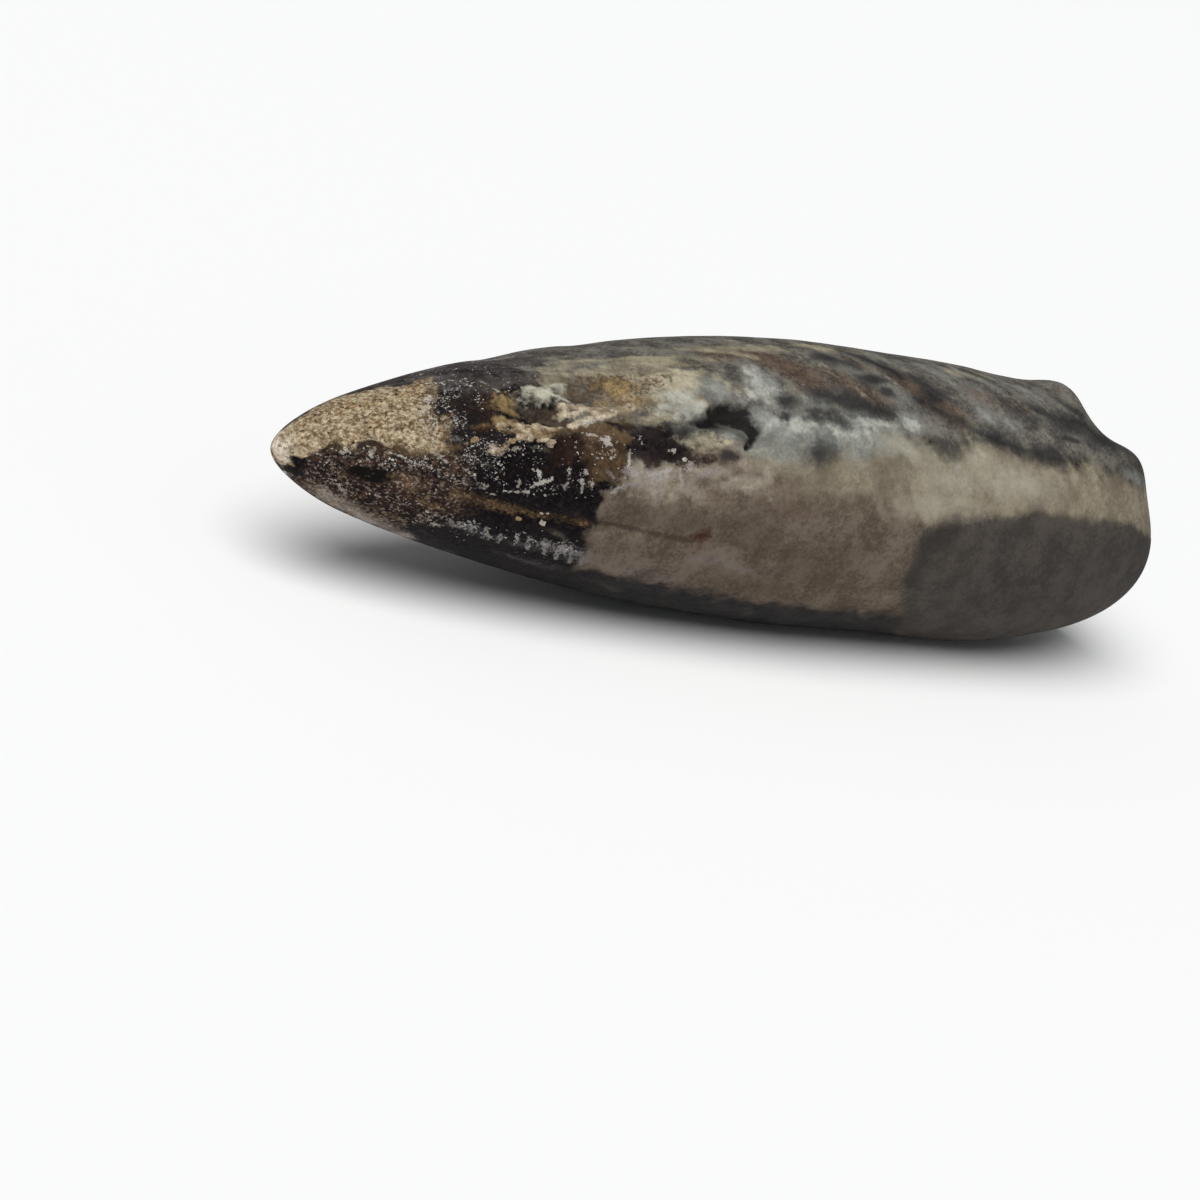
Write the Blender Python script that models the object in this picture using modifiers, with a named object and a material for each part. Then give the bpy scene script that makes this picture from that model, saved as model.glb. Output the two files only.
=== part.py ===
"""Belemnite fossil: one worn, broken guard (rostrum) lying on its side.

The guard of a belemnite is a solid cigar of calcite that grew layer on layer, so it is one
piece. It is turned from its outline first, then bent, worn and chipped by functions of two
surface coordinates: s, the distance in millimetres from the tip along the axis, and phi, the
angle round the axis in degrees, 90 on top and 180 on the front (-Y) side.
"""

import bpy
import numpy as np

# Driving dimensions, in millimetres and degrees.
LENGTH = 82.0  # tip to broken end
RADIUS = 11.41  # at the thick middle
TAPER_LENGTH = 45.0  # from the tip to full thickness
TAPER_POWERS = (1.42, 0.589)  # how full the pointed part is
SHOULDER_START = 61.5  # where the worn rear end begins to narrow
SHOULDER_SPAN = 22.3
SHOULDER_POWERS = (2.64, 0.51)
END_TILT = 2.95  # the broken end leans back by this much
END_LONG_SIDE = 195.0  # the side that keeps the full length
ARCH_HEIGHT = 1.75  # the axis rises this far from the tip to full thickness
ARCH_DIRECTION = 58.9
ARCH_DROP, ARCH_DROP_START = 1.35, 70.0  # and sinks again at the broken end
REST_DEPTH = 9.4  # the worn flat it lies on, below the axis at the tip
DIMPLE_RADIUS, DIMPLE_DEPTH = 3.2, 1.6  # the last of the chamber in the broken end
RIM_ROUND = 0.35
AROUND = 72  # facets round the guard

# The narrow spans carry the relief, so their facets are shorter: (up to s, number of rings).
TIP_SPAN, TIP_RINGS = 10.8, 10
SPANS = ((26.0, 15), (36.0, 8), (60.0, 8), (71.0, 7), (75.4, 6), (LENGTH - RIM_ROUND, 6))

# Hollows (-) and lumps (+): s, phi, half length in mm, half width in degrees, height in mm.
HILLS = (
    (21.5, 120, 6.5, 24, -0.42),  # eroded hollow behind the tip
    (18.5, 131, 1.5, 6, -0.45),  # dark pocket in it
    (16.1, 120, 0.8, 7, -0.30),  # crescent at its front edge
    (20.8, 113, 1.3, 7, -0.25),
    (22.7, 111, 0.8, 6, -0.30),
    (18.0, 118, 1.3, 6, 0.28),  # lumps of crust left standing
    (20.2, 126, 1.4, 5, 0.24),
    (18.3, 144, 0.8, 4, 0.30),
    (32.6, 127, 1.5, 7, -0.80),  # comma-shaped pit
    (30.0, 131, 0.8, 4, -0.25),
    (28.8, 134, 0.7, 3, -0.22),
    (6.2, 179, 1.6, 12, -0.14),  # smooth lens-shaped dimple near the tip
    (31.4, 181, 0.6, 3, -0.12),
    (17.5, 66, 1.8, 16, -0.28),  # shallow dips along the top
    (25.0, 66, 2.0, 16, -0.18),
    (42.0, 66, 4.0, 20, -0.10),
    (65.5, 66, 4.0, 22, -0.30),
    (71.9, 86, 1.8, 17, 1.20),  # lip in front of the broken step
    (76.2, 122, 2.9, 13, 1.20),  # swelling beside it
    (52.0, 300, 9.0, 30, -0.18),  # gentle unevenness round the back
    (30.0, 330, 7.0, 30, -0.15),
    (44.0, 20, 8.0, 25, -0.16),
    (12.0, 350, 4.0, 40, -0.10),
    (28.0, 236, 8.0, 38, 0.16),
    (64.0, 240, 6.0, 38, 0.16),
    (6.0, 240, 4.0, 40, 0.12),
    (57.0, 190, 8.0, 25, 0.07),
)

# Creases (-) and ridges (+): points (s, phi), half width in mm, height in mm.
STROKES = (
    (((8, 170), (10, 174), (12, 178), (14, 181), (16, 183), (20, 184), (26, 183)), 0.55, -0.32),
    (((26, 183), (33, 184), (41, 185)), 0.6, -0.10),
    (((13.6, 100), (15.2, 116)), 0.45, 0.18),
    (((14, 150), (15.3, 142), (17, 139), (19, 137), (21.5, 131), (23, 125), (28, 120)), 0.6, 0.26),
    (((33.2, 131), (34.5, 138), (33.8, 142)), 0.6, -0.45),
)

# The stepped break: the outer layers are gone from STEP_S on, between the two angles.
STEP_S, STEP_RUN = 73.7, 0.65
STEP_FROM, STEP_TO, STEP_EDGE = 30.0, 105.5, 3.7
STEP_FLOOR = 4.6  # radius that is left under the lost layers

MM = 0.001


def clear_scene():
    for obj in list(bpy.data.objects):
        bpy.data.objects.remove(obj, do_unlink=True)
    for group in list(bpy.data.collections):
        bpy.data.collections.remove(group)


def outline_radius(s):
    """Radius of the unworn guard: a full taper from the tip, and a long rounded rear shoulder."""
    n, m = TAPER_POWERS
    taper = 1 - np.clip(1 - s / TAPER_LENGTH, 0, 1) ** n
    p, q = SHOULDER_POWERS
    shoulder = 1 - np.clip((s - SHOULDER_START) / SHOULDER_SPAN, 0, 1) ** p
    return RADIUS * taper**m * shoulder**q


def arch(s):
    """How far the axis lies off the straight line, towards ARCH_DIRECTION."""
    rise = ARCH_HEIGHT * (1 - np.clip(1 - s / TAPER_LENGTH, 0, 1) ** 1.6)
    drop = np.clip((s - ARCH_DROP_START) / (LENGTH - ARCH_DROP_START), 0, 1)
    return rise - ARCH_DROP * drop**2


def ring_stations():
    """Where the rings of vertices lie: crowded at the tip and over the relief."""
    tip = TIP_SPAN * (np.arange(1, TIP_RINGS + 1) / TIP_RINGS) ** 1.6
    stations = [tip]
    start = TIP_SPAN
    for end, count in SPANS:
        stations.append(np.linspace(start, end, count + 1)[1:])
        start = end
    return np.concatenate(stations)


def outline_points():
    """The outline that is turned: tip, side, rounded rim, broken face, dimple."""
    s = ring_stations()
    rim = outline_radius(np.array(LENGTH))
    points = [(0.0, 0.0), *zip(s, outline_radius(s))]
    points += [(LENGTH, rim - RIM_ROUND), (LENGTH, DIMPLE_RADIUS + 0.4)]
    for part in (0.8, 0.4, 0.0):
        points.append((LENGTH - DIMPLE_DEPTH * (1 - part) ** 0.8, DIMPLE_RADIUS * part))
    return points, rim


def turned_guard(points):
    """The outline spun round the X axis by a Screw, as the guard's layers are round."""
    mesh = bpy.data.meshes.new("outline")
    verts = [(s * MM, 0.0, r * MM) for s, r in points]
    mesh.from_pydata(verts, [(i, i + 1) for i in range(len(verts) - 1)], [])
    outline = bpy.data.objects.new("outline", mesh)
    bpy.context.scene.collection.objects.link(outline)
    screw = outline.modifiers.new("turn", "SCREW")
    screw.axis = "X"
    screw.steps = screw.render_steps = AROUND
    screw.use_normal_flip = True  # outward faces
    screw.use_merge_vertices = True
    screw.merge_threshold = 0.000001
    screw.use_smooth_shade = False
    bpy.context.view_layer.update()
    solid = outline.evaluated_get(bpy.context.evaluated_depsgraph_get())
    turned = bpy.data.meshes.new_from_object(solid)
    bpy.data.objects.remove(outline, do_unlink=True)
    return turned


def fade(x):
    return 1 / (1 + np.exp(-np.clip(x, -40, 40)))


def turn_between(phi, middle):
    """Angle from middle to phi, the short way round."""
    return (phi - middle + 180) % 360 - 180


def hills(s, phi):
    height = np.zeros_like(s)
    for s0, phi0, half_s, half_phi, top in HILLS:
        away = ((s - s0) / half_s) ** 2 + (turn_between(phi, phi0) / half_phi) ** 2
        height += top * np.exp(-away)
    return height


def strokes(s, phi, r):
    """Creases and ridges: each falls away with the distance, on the surface, from its line."""
    height = np.zeros_like(s)
    for line, half_width, top in STROKES:
        nearest = np.full_like(s, np.inf)
        for (s0, phi0), (s1, phi1) in zip(line, line[1:]):
            across, run = np.radians(turn_between(phi, phi0)) * r, np.radians(phi1 - phi0) * r
            along, reach = s - s0, s1 - s0
            t = np.clip((along * reach + across * run) / (reach**2 + run**2 + 1e-9), 0, 1)
            gap = np.hypot(along - t * reach, across - t * run)
            nearest = np.minimum(nearest, gap)
        height += top * np.exp(-((nearest / half_width) ** 2))
    return height


def broken_step(s, phi, r):
    """The radius where the outer layers have come away on the upper back of the rear end."""
    lost = fade((s - STEP_S) / STEP_RUN)
    lost *= fade((phi - STEP_FROM) / 6) * fade((STEP_TO - phi) / STEP_EDGE)
    ripple = 0.18 * np.sin(np.radians(phi * 9) + s * 1.3)
    floor = np.minimum(r, STEP_FLOOR - 0.1 * (s - STEP_S) + ripple)
    return r + lost * (floor - r)


def sculpt(mesh, rim):
    co = np.empty(len(mesh.vertices) * 3)
    mesh.vertices.foreach_get("co", co)
    s, y, z = co.reshape(-1, 3).T / MM
    r = np.hypot(y, z)
    phi = np.degrees(np.arctan2(z, y)) % 360
    side = np.clip((r - DIMPLE_RADIUS - 0.4) / (rim - DIMPLE_RADIUS - 0.4), 0, 1)
    side = np.where(s < LENGTH - RIM_ROUND - 0.01, 1.0, side)
    tip = np.clip(s / 3, 0, 1)
    worn = r + side * tip * (hills(s, phi) + strokes(s, phi, r))
    worn = np.where(side > 0, broken_step(s, phi, worn), worn)
    worn = np.where(r < 1e-6, 0, worn)
    # The broken end leans: the side at END_LONG_SIDE keeps the full length.
    swing = np.minimum(r / rim, 1) * np.cos(np.radians(phi - END_LONG_SIDE))
    back = np.clip(s - SHOULDER_START, 0, None) / SHOULDER_SPAN * END_TILT * (1 - swing) / 2
    x = s - back
    y = worn * np.cos(np.radians(phi)) + arch(s) * np.cos(np.radians(ARCH_DIRECTION))
    z = worn * np.sin(np.radians(phi)) + arch(s) * np.sin(np.radians(ARCH_DIRECTION))
    z = np.maximum(z + REST_DEPTH, 0)
    x, y = x - (x.min() + x.max()) / 2, y - (y.min() + y.max()) / 2
    mesh.vertices.foreach_set("co", (np.stack([x, y, z], -1) * MM).ravel())
    mesh.update()


def dark_calcite():
    material = bpy.data.materials.new("dark calcite")
    material.use_nodes = True
    shader = material.node_tree.nodes["Principled BSDF"]
    shader.inputs["Base Color"].default_value = (0.08, 0.07, 0.055, 1)
    shader.inputs["Roughness"].default_value = 0.6
    material.diffuse_color = (0.08, 0.07, 0.055, 1)
    return material


def main():
    clear_scene()
    points, rim = outline_points()
    mesh = turned_guard(points)
    mesh.name = "rostrum"
    sculpt(mesh, rim)
    mesh.materials.clear()
    mesh.materials.append(dark_calcite())
    rostrum = bpy.data.objects.new("rostrum", mesh)
    group = bpy.data.collections.new("belemnite fossil")
    bpy.context.scene.collection.children.link(group)
    group.objects.link(rostrum)


main()
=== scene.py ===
# %% [markdown]
# # A belemnite guard, the stone cigar that a squid-like animal left behind
#
# The guard of a belemnite is solid calcite. It grew layer on layer round a line, so every
# cross section is nearly a circle, and the whole is a turned form: a pointed tip, a thick
# middle, and a broken rear end. Burial stained it and wear dulled it. This lesson builds that
# surface as one grid of points, presses the relief into it, and then lays the stains over it.

from functools import partial

import bmesh
import bpy
import numpy as np
from mathutils import Matrix, Vector


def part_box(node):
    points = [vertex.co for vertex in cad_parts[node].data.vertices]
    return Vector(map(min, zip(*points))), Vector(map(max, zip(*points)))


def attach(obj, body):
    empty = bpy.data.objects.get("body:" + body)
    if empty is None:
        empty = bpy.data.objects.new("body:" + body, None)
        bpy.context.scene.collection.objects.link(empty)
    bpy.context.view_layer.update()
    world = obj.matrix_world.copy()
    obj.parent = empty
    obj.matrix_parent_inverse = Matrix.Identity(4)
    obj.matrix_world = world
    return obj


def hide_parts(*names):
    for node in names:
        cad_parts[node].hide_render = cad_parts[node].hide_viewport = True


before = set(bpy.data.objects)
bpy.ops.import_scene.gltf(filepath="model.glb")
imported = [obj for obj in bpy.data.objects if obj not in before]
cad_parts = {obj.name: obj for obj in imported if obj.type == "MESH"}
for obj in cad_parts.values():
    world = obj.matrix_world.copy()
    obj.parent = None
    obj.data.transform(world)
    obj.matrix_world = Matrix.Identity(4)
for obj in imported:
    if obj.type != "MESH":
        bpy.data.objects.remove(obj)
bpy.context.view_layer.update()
low, high = (np.array(corner) * 1000 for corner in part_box("rostrum"))
print("guard in the frame, mm:", (high - low).round(2))

# %% [markdown]
# ## Two coordinates on the stone
#
# Every mark on the guard is placed by two numbers: s, the distance in millimetres from the tip
# along the axis, and phi, the angle round the axis in degrees. Phi is 90 on top, 180 on the
# front and 270 underneath. It is how a geologist would note a mark on a drill core. The rings
# of the grid stand close together near the tip, where the surface is busiest, and the columns
# stand close together on the front. A plain even grid would need twice the faces.

# %% Driving sizes, in millimetres and degrees
MM = 0.001
LENGTH = 82.0
RADIUS = 11.41
TAPER_LENGTH = 45.0
TAPER_POWERS = (1.42, 0.589)
SHOULDER_START, SHOULDER_SPAN = 61.5, 22.3
SHOULDER_POWERS = (2.64, 0.51)
END_TILT, END_LONG_SIDE = 2.95, 195.0
ARCH_HEIGHT, ARCH_DIRECTION, ARCH_POWER = 1.75, 58.9, 1.6
ARCH_DROP, ARCH_DROP_START = 1.35, 70.0
REST_DEPTH, REST_SOFTNESS = 9.4, 0.03
RIM_WEAR = 0.35
DIMPLE_RADIUS, DIMPLE_DEPTH, DIMPLE_POWER = 3.6, 1.6, 0.8
GROWTH_STEP = 0.75
COLUMNS = 320
FRONT_CROWDING, FRONT_MIDDLE = 0.42, 155.0
RING_SPANS = ((0.0, 3.0, 22), (3.0, 34.0, 150), (34.0, 70.0, 72), (70.0, 81.65, 34))
TIP_CROWDING = 1.7
RIM_RINGS, FACE_RINGS = 4, 16

# %% The turned outline
def outline_radius(s):
    """Radius at s: a full taper to a power from the tip, times a rounded shoulder at the rear."""
    n, m = TAPER_POWERS
    taper = 1 - np.clip(1 - s / TAPER_LENGTH, 0, 1) ** n
    p, q = SHOULDER_POWERS
    shoulder = 1 - np.clip((s - SHOULDER_START) / SHOULDER_SPAN, 0, 1) ** p
    return RADIUS * taper**m * shoulder**q


def arch(s):
    """Offset of the axis: a power curve up to full thickness, less a square drop at the end."""
    rise = ARCH_HEIGHT * (1 - np.clip(1 - s / TAPER_LENGTH, 0, 1) ** ARCH_POWER)
    drop = np.clip((s - ARCH_DROP_START) / (LENGTH - ARCH_DROP_START), 0, 1)
    return rise - ARCH_DROP * drop**2


def crowded_angles(count):
    """Angles whose steps are short at FRONT_MIDDLE: t less a share of the sine of t."""
    t = np.linspace(0, 2 * np.pi, count, endpoint=False)
    return (FRONT_MIDDLE + np.degrees(t - FRONT_CROWDING * np.sin(t))) % 360


def rings():
    """Every ring's s and r, and the rim's r: at the tip even steps to a power, then spans, then the end.

    The end turns in over a small worn rim as a quarter circle, runs to the middle as a flat
    break, and sinks into the dimple as a power curve.
    """
    (_, first_end, first_count), *spans = RING_SPANS
    s = [first_end * (np.arange(1, first_count + 1) / first_count) ** TIP_CROWDING]
    for start, end, count in spans:
        s.append(np.linspace(start, end, count + 1)[1:])
    s = np.concatenate(s)
    rim = outline_radius(LENGTH)
    turn = np.linspace(0.2, 1, RIM_RINGS) * np.pi / 2
    rim_s = LENGTH - RIM_WEAR + RIM_WEAR * np.sin(turn)
    rim_r = rim - RIM_WEAR * (1 - np.cos(turn))
    face_r = np.linspace(rim - RIM_WEAR, 0, FACE_RINGS + 2)[1:-1]
    sink = np.clip(1 - face_r / DIMPLE_RADIUS, 0, 1)
    face_s = LENGTH - DIMPLE_DEPTH * sink**DIMPLE_POWER
    return np.concatenate([s, rim_s, face_s]), np.concatenate([outline_radius(s), rim_r, face_r]), rim


ring_s, ring_r, RIM = rings()
columns = crowded_angles(COLUMNS)
S, PHI = np.meshgrid(ring_s, columns, indexing="ij")
R0 = np.repeat(ring_r[:, None], COLUMNS, axis=1)
SIDE_RINGS = len(ring_s) - RIM_RINGS - FACE_RINGS
ON_SIDE = S * 0 + (np.arange(len(ring_s)) < SIDE_RINGS)[:, None]
print("grid of", S.shape, "points,", 2 * S.size, "triangles")

# %% [markdown]
# ## Noise, the grit of the model
#
# Nothing on a fossil is smooth or regular. A lattice of random values, blended between its
# corners, gives soft lumps of one size. Adding it to itself at half the size and half the
# height gives the look of weathered stone. It is worked out on the points in millimetres, so a
# size in the code is a size on the stone.

# %% Lattice noise on whole arrays
def lattice(cell, seed):
    """A value from 0 to 1 for each whole-number cell, by mixing the bits of its numbers."""
    x, y, z = (cell[..., i].astype(np.int64).astype(np.uint32) for i in range(3))
    h = x * np.uint32(374761393) + y * np.uint32(668265263)
    h = h + z * np.uint32(2246822519) + np.uint32(seed * 3266489917 % 2**32)
    h = (h ^ (h >> np.uint32(13))) * np.uint32(1274126177)
    return (h ^ (h >> np.uint32(16))).astype(float) / 2**32


CELL_SHIFT = 1000.5  # keeps every cell number above zero


def lumps(points, size, seed=0):
    """Smooth noise from -1 to 1: the eight lattice values round a point, blended."""
    p = points / size + CELL_SHIFT
    cell = np.floor(p)
    f = p - cell
    f = f * f * (3 - 2 * f)
    total = 0
    for corner in np.ndindex(2, 2, 2):
        weight = np.prod(np.where(np.array(corner) == 1, f, 1 - f), axis=-1)
        total = total + weight * lattice(cell + np.array(corner), seed)
    return total * 2 - 1


LAYER_REACH = 1.6  # three layers of lumps seldom add up to more


def weathering(points, size, seed=0, layers=3):
    """Lumps added up, each layer half the size and half the height of the last."""
    return sum(lumps(points, size / 2**i, seed + i) / 2**i for i in range(layers)) / LAYER_REACH


# All noise is read on the plain form: the axis straight, and no relief yet.
STRAIGHT = np.stack([S, R0 * np.cos(np.radians(PHI)), R0 * np.sin(np.radians(PHI))], axis=-1)
print("noise spread:", weathering(STRAIGHT, 2.0).std().round(3))

# %% [markdown]
# ## Marks and zones
#
# A stain, a pit or a crust is a field over the surface: 1 in its middle, one half on its edge
# and 0 well outside. A field can press the surface in, and the same field can colour it, so
# shape and colour stay together. Three makers are enough: round spots, strokes along a line,
# and zones with straight edges. They are easier to place than painted weights.

# %% Makers of fields
STROKE_WANDER = 0.4  # share of the wandering that a stroke follows


def wander(seed):
    """How far a mark strays, in mm: lumps of 3.2 mm with finer ones of 0.9 mm on them."""
    return 0.5 * lumps(STRAIGHT, 3.2, seed) + 0.22 * lumps(STRAIGHT, 0.9, seed + 1)


# Near the point marks keep their s, and a thin ring doesn't turn them far.
WANDER_S = wander(60)
SW = S + WANDER_S * np.clip(S / 4, 0, 1)
PHIW = PHI + np.degrees(wander(62) / np.maximum(R0, 3.0))


def turn_from(middle, phi=PHI):
    """Angle from middle to each point, the short way round."""
    return (phi - middle + 180) % 360 - 180


def spots(*marks):
    """Greatest of 1 less half the distance in half-sizes; a mark is s, phi, half mm, half deg."""
    field = np.zeros_like(S)
    for s0, phi0, half_s, half_phi in marks:
        away = np.hypot((SW - s0) / half_s, turn_from(phi0, PHIW) / half_phi)
        field = np.maximum(field, 1 - away / 2)
    return field


def gap_to(line, s=S, phi=PHI):
    """Distance over the surface, in mm, to a broken line given as s, phi, s, phi and so on."""
    nearest = np.full_like(S, np.inf)
    corners = np.reshape(line, (-1, 2))
    for (s0, phi0), (s1, phi1) in zip(corners, corners[1:]):
        across, run = np.radians(turn_from(phi0, phi)) * R0, np.radians(phi1 - phi0) * R0
        along, reach = s - s0, s1 - s0
        t = np.clip((along * reach + across * run) / (reach**2 + run**2 + 1e-9), 0, 1)
        nearest = np.minimum(nearest, np.hypot(along - t * reach, across - t * run))
    return nearest


def strokes(half_width, *lines):
    """1 less half the distance to the nearest line, counted in half widths."""
    s, phi = S + WANDER_S * STROKE_WANDER, PHI + (PHIW - PHI) * STROKE_WANDER
    gap = np.minimum.reduce([gap_to(line, s, phi) for line in lines])
    return np.maximum(1 - gap / half_width / 2, 0)


def beyond(value, edge, width):
    """A ramp that is one half at the edge and reaches 1 one width past it."""
    return np.clip(0.5 + (value - edge) / (2 * width), 0, 1)


def zone(*ramps):
    """Where all the ramps hold: the smallest of them."""
    return np.minimum.reduce(np.broadcast_arrays(*ramps))


def any_of(*parts):
    """Where any of the parts holds: the greatest of them."""
    return np.maximum.reduce(parts)


def between(value, start, end, soft_start, soft_end):
    """A ramp up at the start and one down at the end, each as soft as its width."""
    return zone(beyond(value, start, soft_start), beyond(-value, -end, soft_end))


def within(low_phi, high_phi, width):
    """A sector round the axis, with soft sides of that many degrees."""
    middle, half = (low_phi + high_phi) / 2, (high_phi - low_phi) / 2
    return beyond(half - np.abs(turn_from(middle, PHIW)), 0, width)


print("marks stray up to", np.abs(WANDER_S).max().round(2), "mm")

# %% [markdown]
# ## The relief
#
# These hollows, lumps, creases and the stepped break are what a hand would feel. They are the
# same named forms that the solid model has, repeated on the finer grid. A bell curve gives
# each one soft shoulders, as wear does.

# %% Hollows and lumps: s, phi, half length in mm, half width in degrees, height in mm
HILLS = (
    (21.5, 120, 6.5, 24, -0.42), (18.5, 131, 1.5, 6, -0.45), (16.1, 120, 0.8, 7, -0.30),
    (20.8, 113, 1.3, 7, -0.25), (22.7, 111, 0.8, 6, -0.30), (18.0, 118, 1.3, 6, 0.28),
    (20.2, 126, 1.4, 5, 0.24), (18.3, 144, 0.8, 4, 0.30), (32.6, 127, 1.5, 7, -0.80),
    (30.0, 131, 0.8, 4, -0.25), (28.8, 134, 0.7, 3, -0.22), (6.2, 179, 1.6, 12, -0.14),
    (31.4, 181, 0.6, 3, -0.12), (17.5, 66, 1.8, 16, -0.28), (25.0, 66, 2.0, 16, -0.18),
    (42.0, 66, 4.0, 20, -0.10), (65.5, 66, 4.0, 22, -0.30), (71.9, 86, 1.8, 17, 1.20),
    (76.2, 122, 2.9, 13, 1.20), (52.0, 300, 9.0, 30, -0.18), (30.0, 330, 7.0, 30, -0.15),
    (44.0, 20, 8.0, 25, -0.16), (12.0, 350, 4.0, 40, -0.10), (28.0, 236, 8.0, 38, 0.16),
    (64.0, 240, 6.0, 38, 0.16), (6.0, 240, 4.0, 40, 0.12), (57.0, 190, 8.0, 25, 0.07),
)
# Creases and ridges: height and half width in mm, then s, phi of each corner. They are the long
# crease, its faint tail, the crest before the hollow, the crusty ridge and the tail of the pit.
RIDGES = (
    (-0.32, 0.55, (8, 170, 10, 174, 12, 178, 14, 181, 16, 183, 20, 184, 26, 183)),
    (-0.10, 0.60, (26, 183, 33, 184, 41, 185)),
    (0.18, 0.45, (13.6, 100, 15.2, 116)),
    (0.26, 0.60, (14, 150, 15.3, 142, 17, 139, 19, 137, 21.5, 131, 23, 125, 28, 120)),
    (-0.45, 0.60, (33.6, 131, 34.7, 137, 34.2, 141.5)),
)
STEP_S, STEP_RUN = 73.7, 0.65
STEP_FROM, STEP_TO = 30.0, 105.5
STEP_FROM_EDGE, STEP_TO_EDGE = 6, 3.7
STEP_FLOOR, STEP_FALL = 4.6, 0.1
RIPPLE_HEIGHT, RIPPLES_ROUND, RIPPLE_LEAN = 0.18, 9, 1.3


def hill_height():
    """Sum of bell curves, one for each hollow or lump."""
    height = np.zeros_like(S)
    for s0, phi0, half_s, half_phi, top in HILLS:
        away = ((S - s0) / half_s) ** 2 + (turn_from(phi0) / half_phi) ** 2
        height += top * np.exp(-away)
    return height


def ridge_height():
    """Sum of bell curves of the distance to each line."""
    return sum(top * np.exp(-((gap_to(line) / half) ** 2)) for top, half, line in RIDGES)


def fade(x):
    """The logistic curve: 0 well below zero, one half at zero, 1 well above it."""
    return 1 / (1 + np.exp(-np.clip(x, -40, 40)))


def broken_step(r):
    """Lowers r to a rippled floor where the outer layers have come away at the rear."""
    lost = fade((S - STEP_S) / STEP_RUN)
    lost = lost * fade((PHI - STEP_FROM) / STEP_FROM_EDGE) * fade((STEP_TO - PHI) / STEP_TO_EDGE)
    ripple = RIPPLE_HEIGHT * np.sin(np.radians(PHI * RIPPLES_ROUND) + S * RIPPLE_LEAN)
    floor = np.minimum(r, STEP_FLOOR - STEP_FALL * (S - STEP_S) + ripple)
    return r + lost * (floor - r), lost


relief = hill_height() + ridge_height()
print("relief from", relief.min().round(2), "to", relief.max().round(2), "mm")

# %% [markdown]
# ## The map of finishes
#
# Seen close, the stone has a few clear finishes: a granular tan tip, a near-black polished
# band, a dull taupe crust, a paler band along the front, grey weathering on top, and small
# ochre, rust and chalk marks. Each gets one field here, and one layer of colour later. Streaks
# of noise are drawn out along the stone, because stains follow its fibres.

# %% Borders and streaks that the fields share
STREAK_RADIUS = 9.5  # mean radius of the guard in mm, so a streak is as broad as its size says
REAR_START = 37.0


def streaks(length, breadth, lean, seed, rear_lean=0.0):
    """Noise drawn out along the surface, leaning by that many degrees round per millimetre."""
    turned = np.radians(PHI - lean * S - rear_lean * np.clip(S - REAR_START, 0, None))
    pulled = np.stack([
        S * breadth / length, STREAK_RADIUS * np.cos(turned), STREAK_RADIUS * np.sin(turned)
    ], axis=-1)
    return weathering(pulled, breadth, seed)


# Borders that bend: an s that goes with phi, or a phi that goes with s.
crust_edge = 22.2 + 0.30 * np.clip(166 - PHI, 0, None) + 0.024 * np.clip(PHI - 168, 0, None)
sandy_edge = 12.8 - 0.11 * np.clip(PHI - 196, 0, 40)
slate_edge = 51 + 0.13 * np.clip(PHI - 188, 0, 60)
slate_top = 156 + 11 * np.exp(-np.clip(S - 51, 0, 60) / 6)
tan_back = 60 + 26 * np.clip((S - 4) / 3, 0, 1)
tan_front = np.interp(S, (0.6, 1.2, 2.2, 3.0, 5.0, 7.0, 9.5), (182, 167, 154, 141, 140, 147, 150))
tan_fray = 0.50 * weathering(STRAIGHT, 1.3, 84) * beyond(-S, -13, 1)
lumpy = weathering(STRAIGHT, 0.7, 13)
drift = streaks(6.0, 1.6, 2.0, 70, 5.0)
wisps = streaks(3.2, 0.8, 2.0, 76, 5.0)
upper = within(-90, 152, 12)

# The back has 90 blots like those of the front, scattered: s, phi, half mm, half degrees.
dice = np.random.default_rng(11)
BLOTS = 90
blots = np.stack([
    dice.uniform(8, 78, BLOTS), dice.uniform(250, 415, BLOTS),
    dice.uniform(1.0, 4.0, BLOTS), dice.uniform(4, 14, BLOTS),
], axis=-1)
cloud_blots, brown_blots, dark_blots, pale_blots = np.split(blots, (16, 38, 66))
print("drift spread:", drift.std().round(3), "blots:", len(blots))
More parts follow.
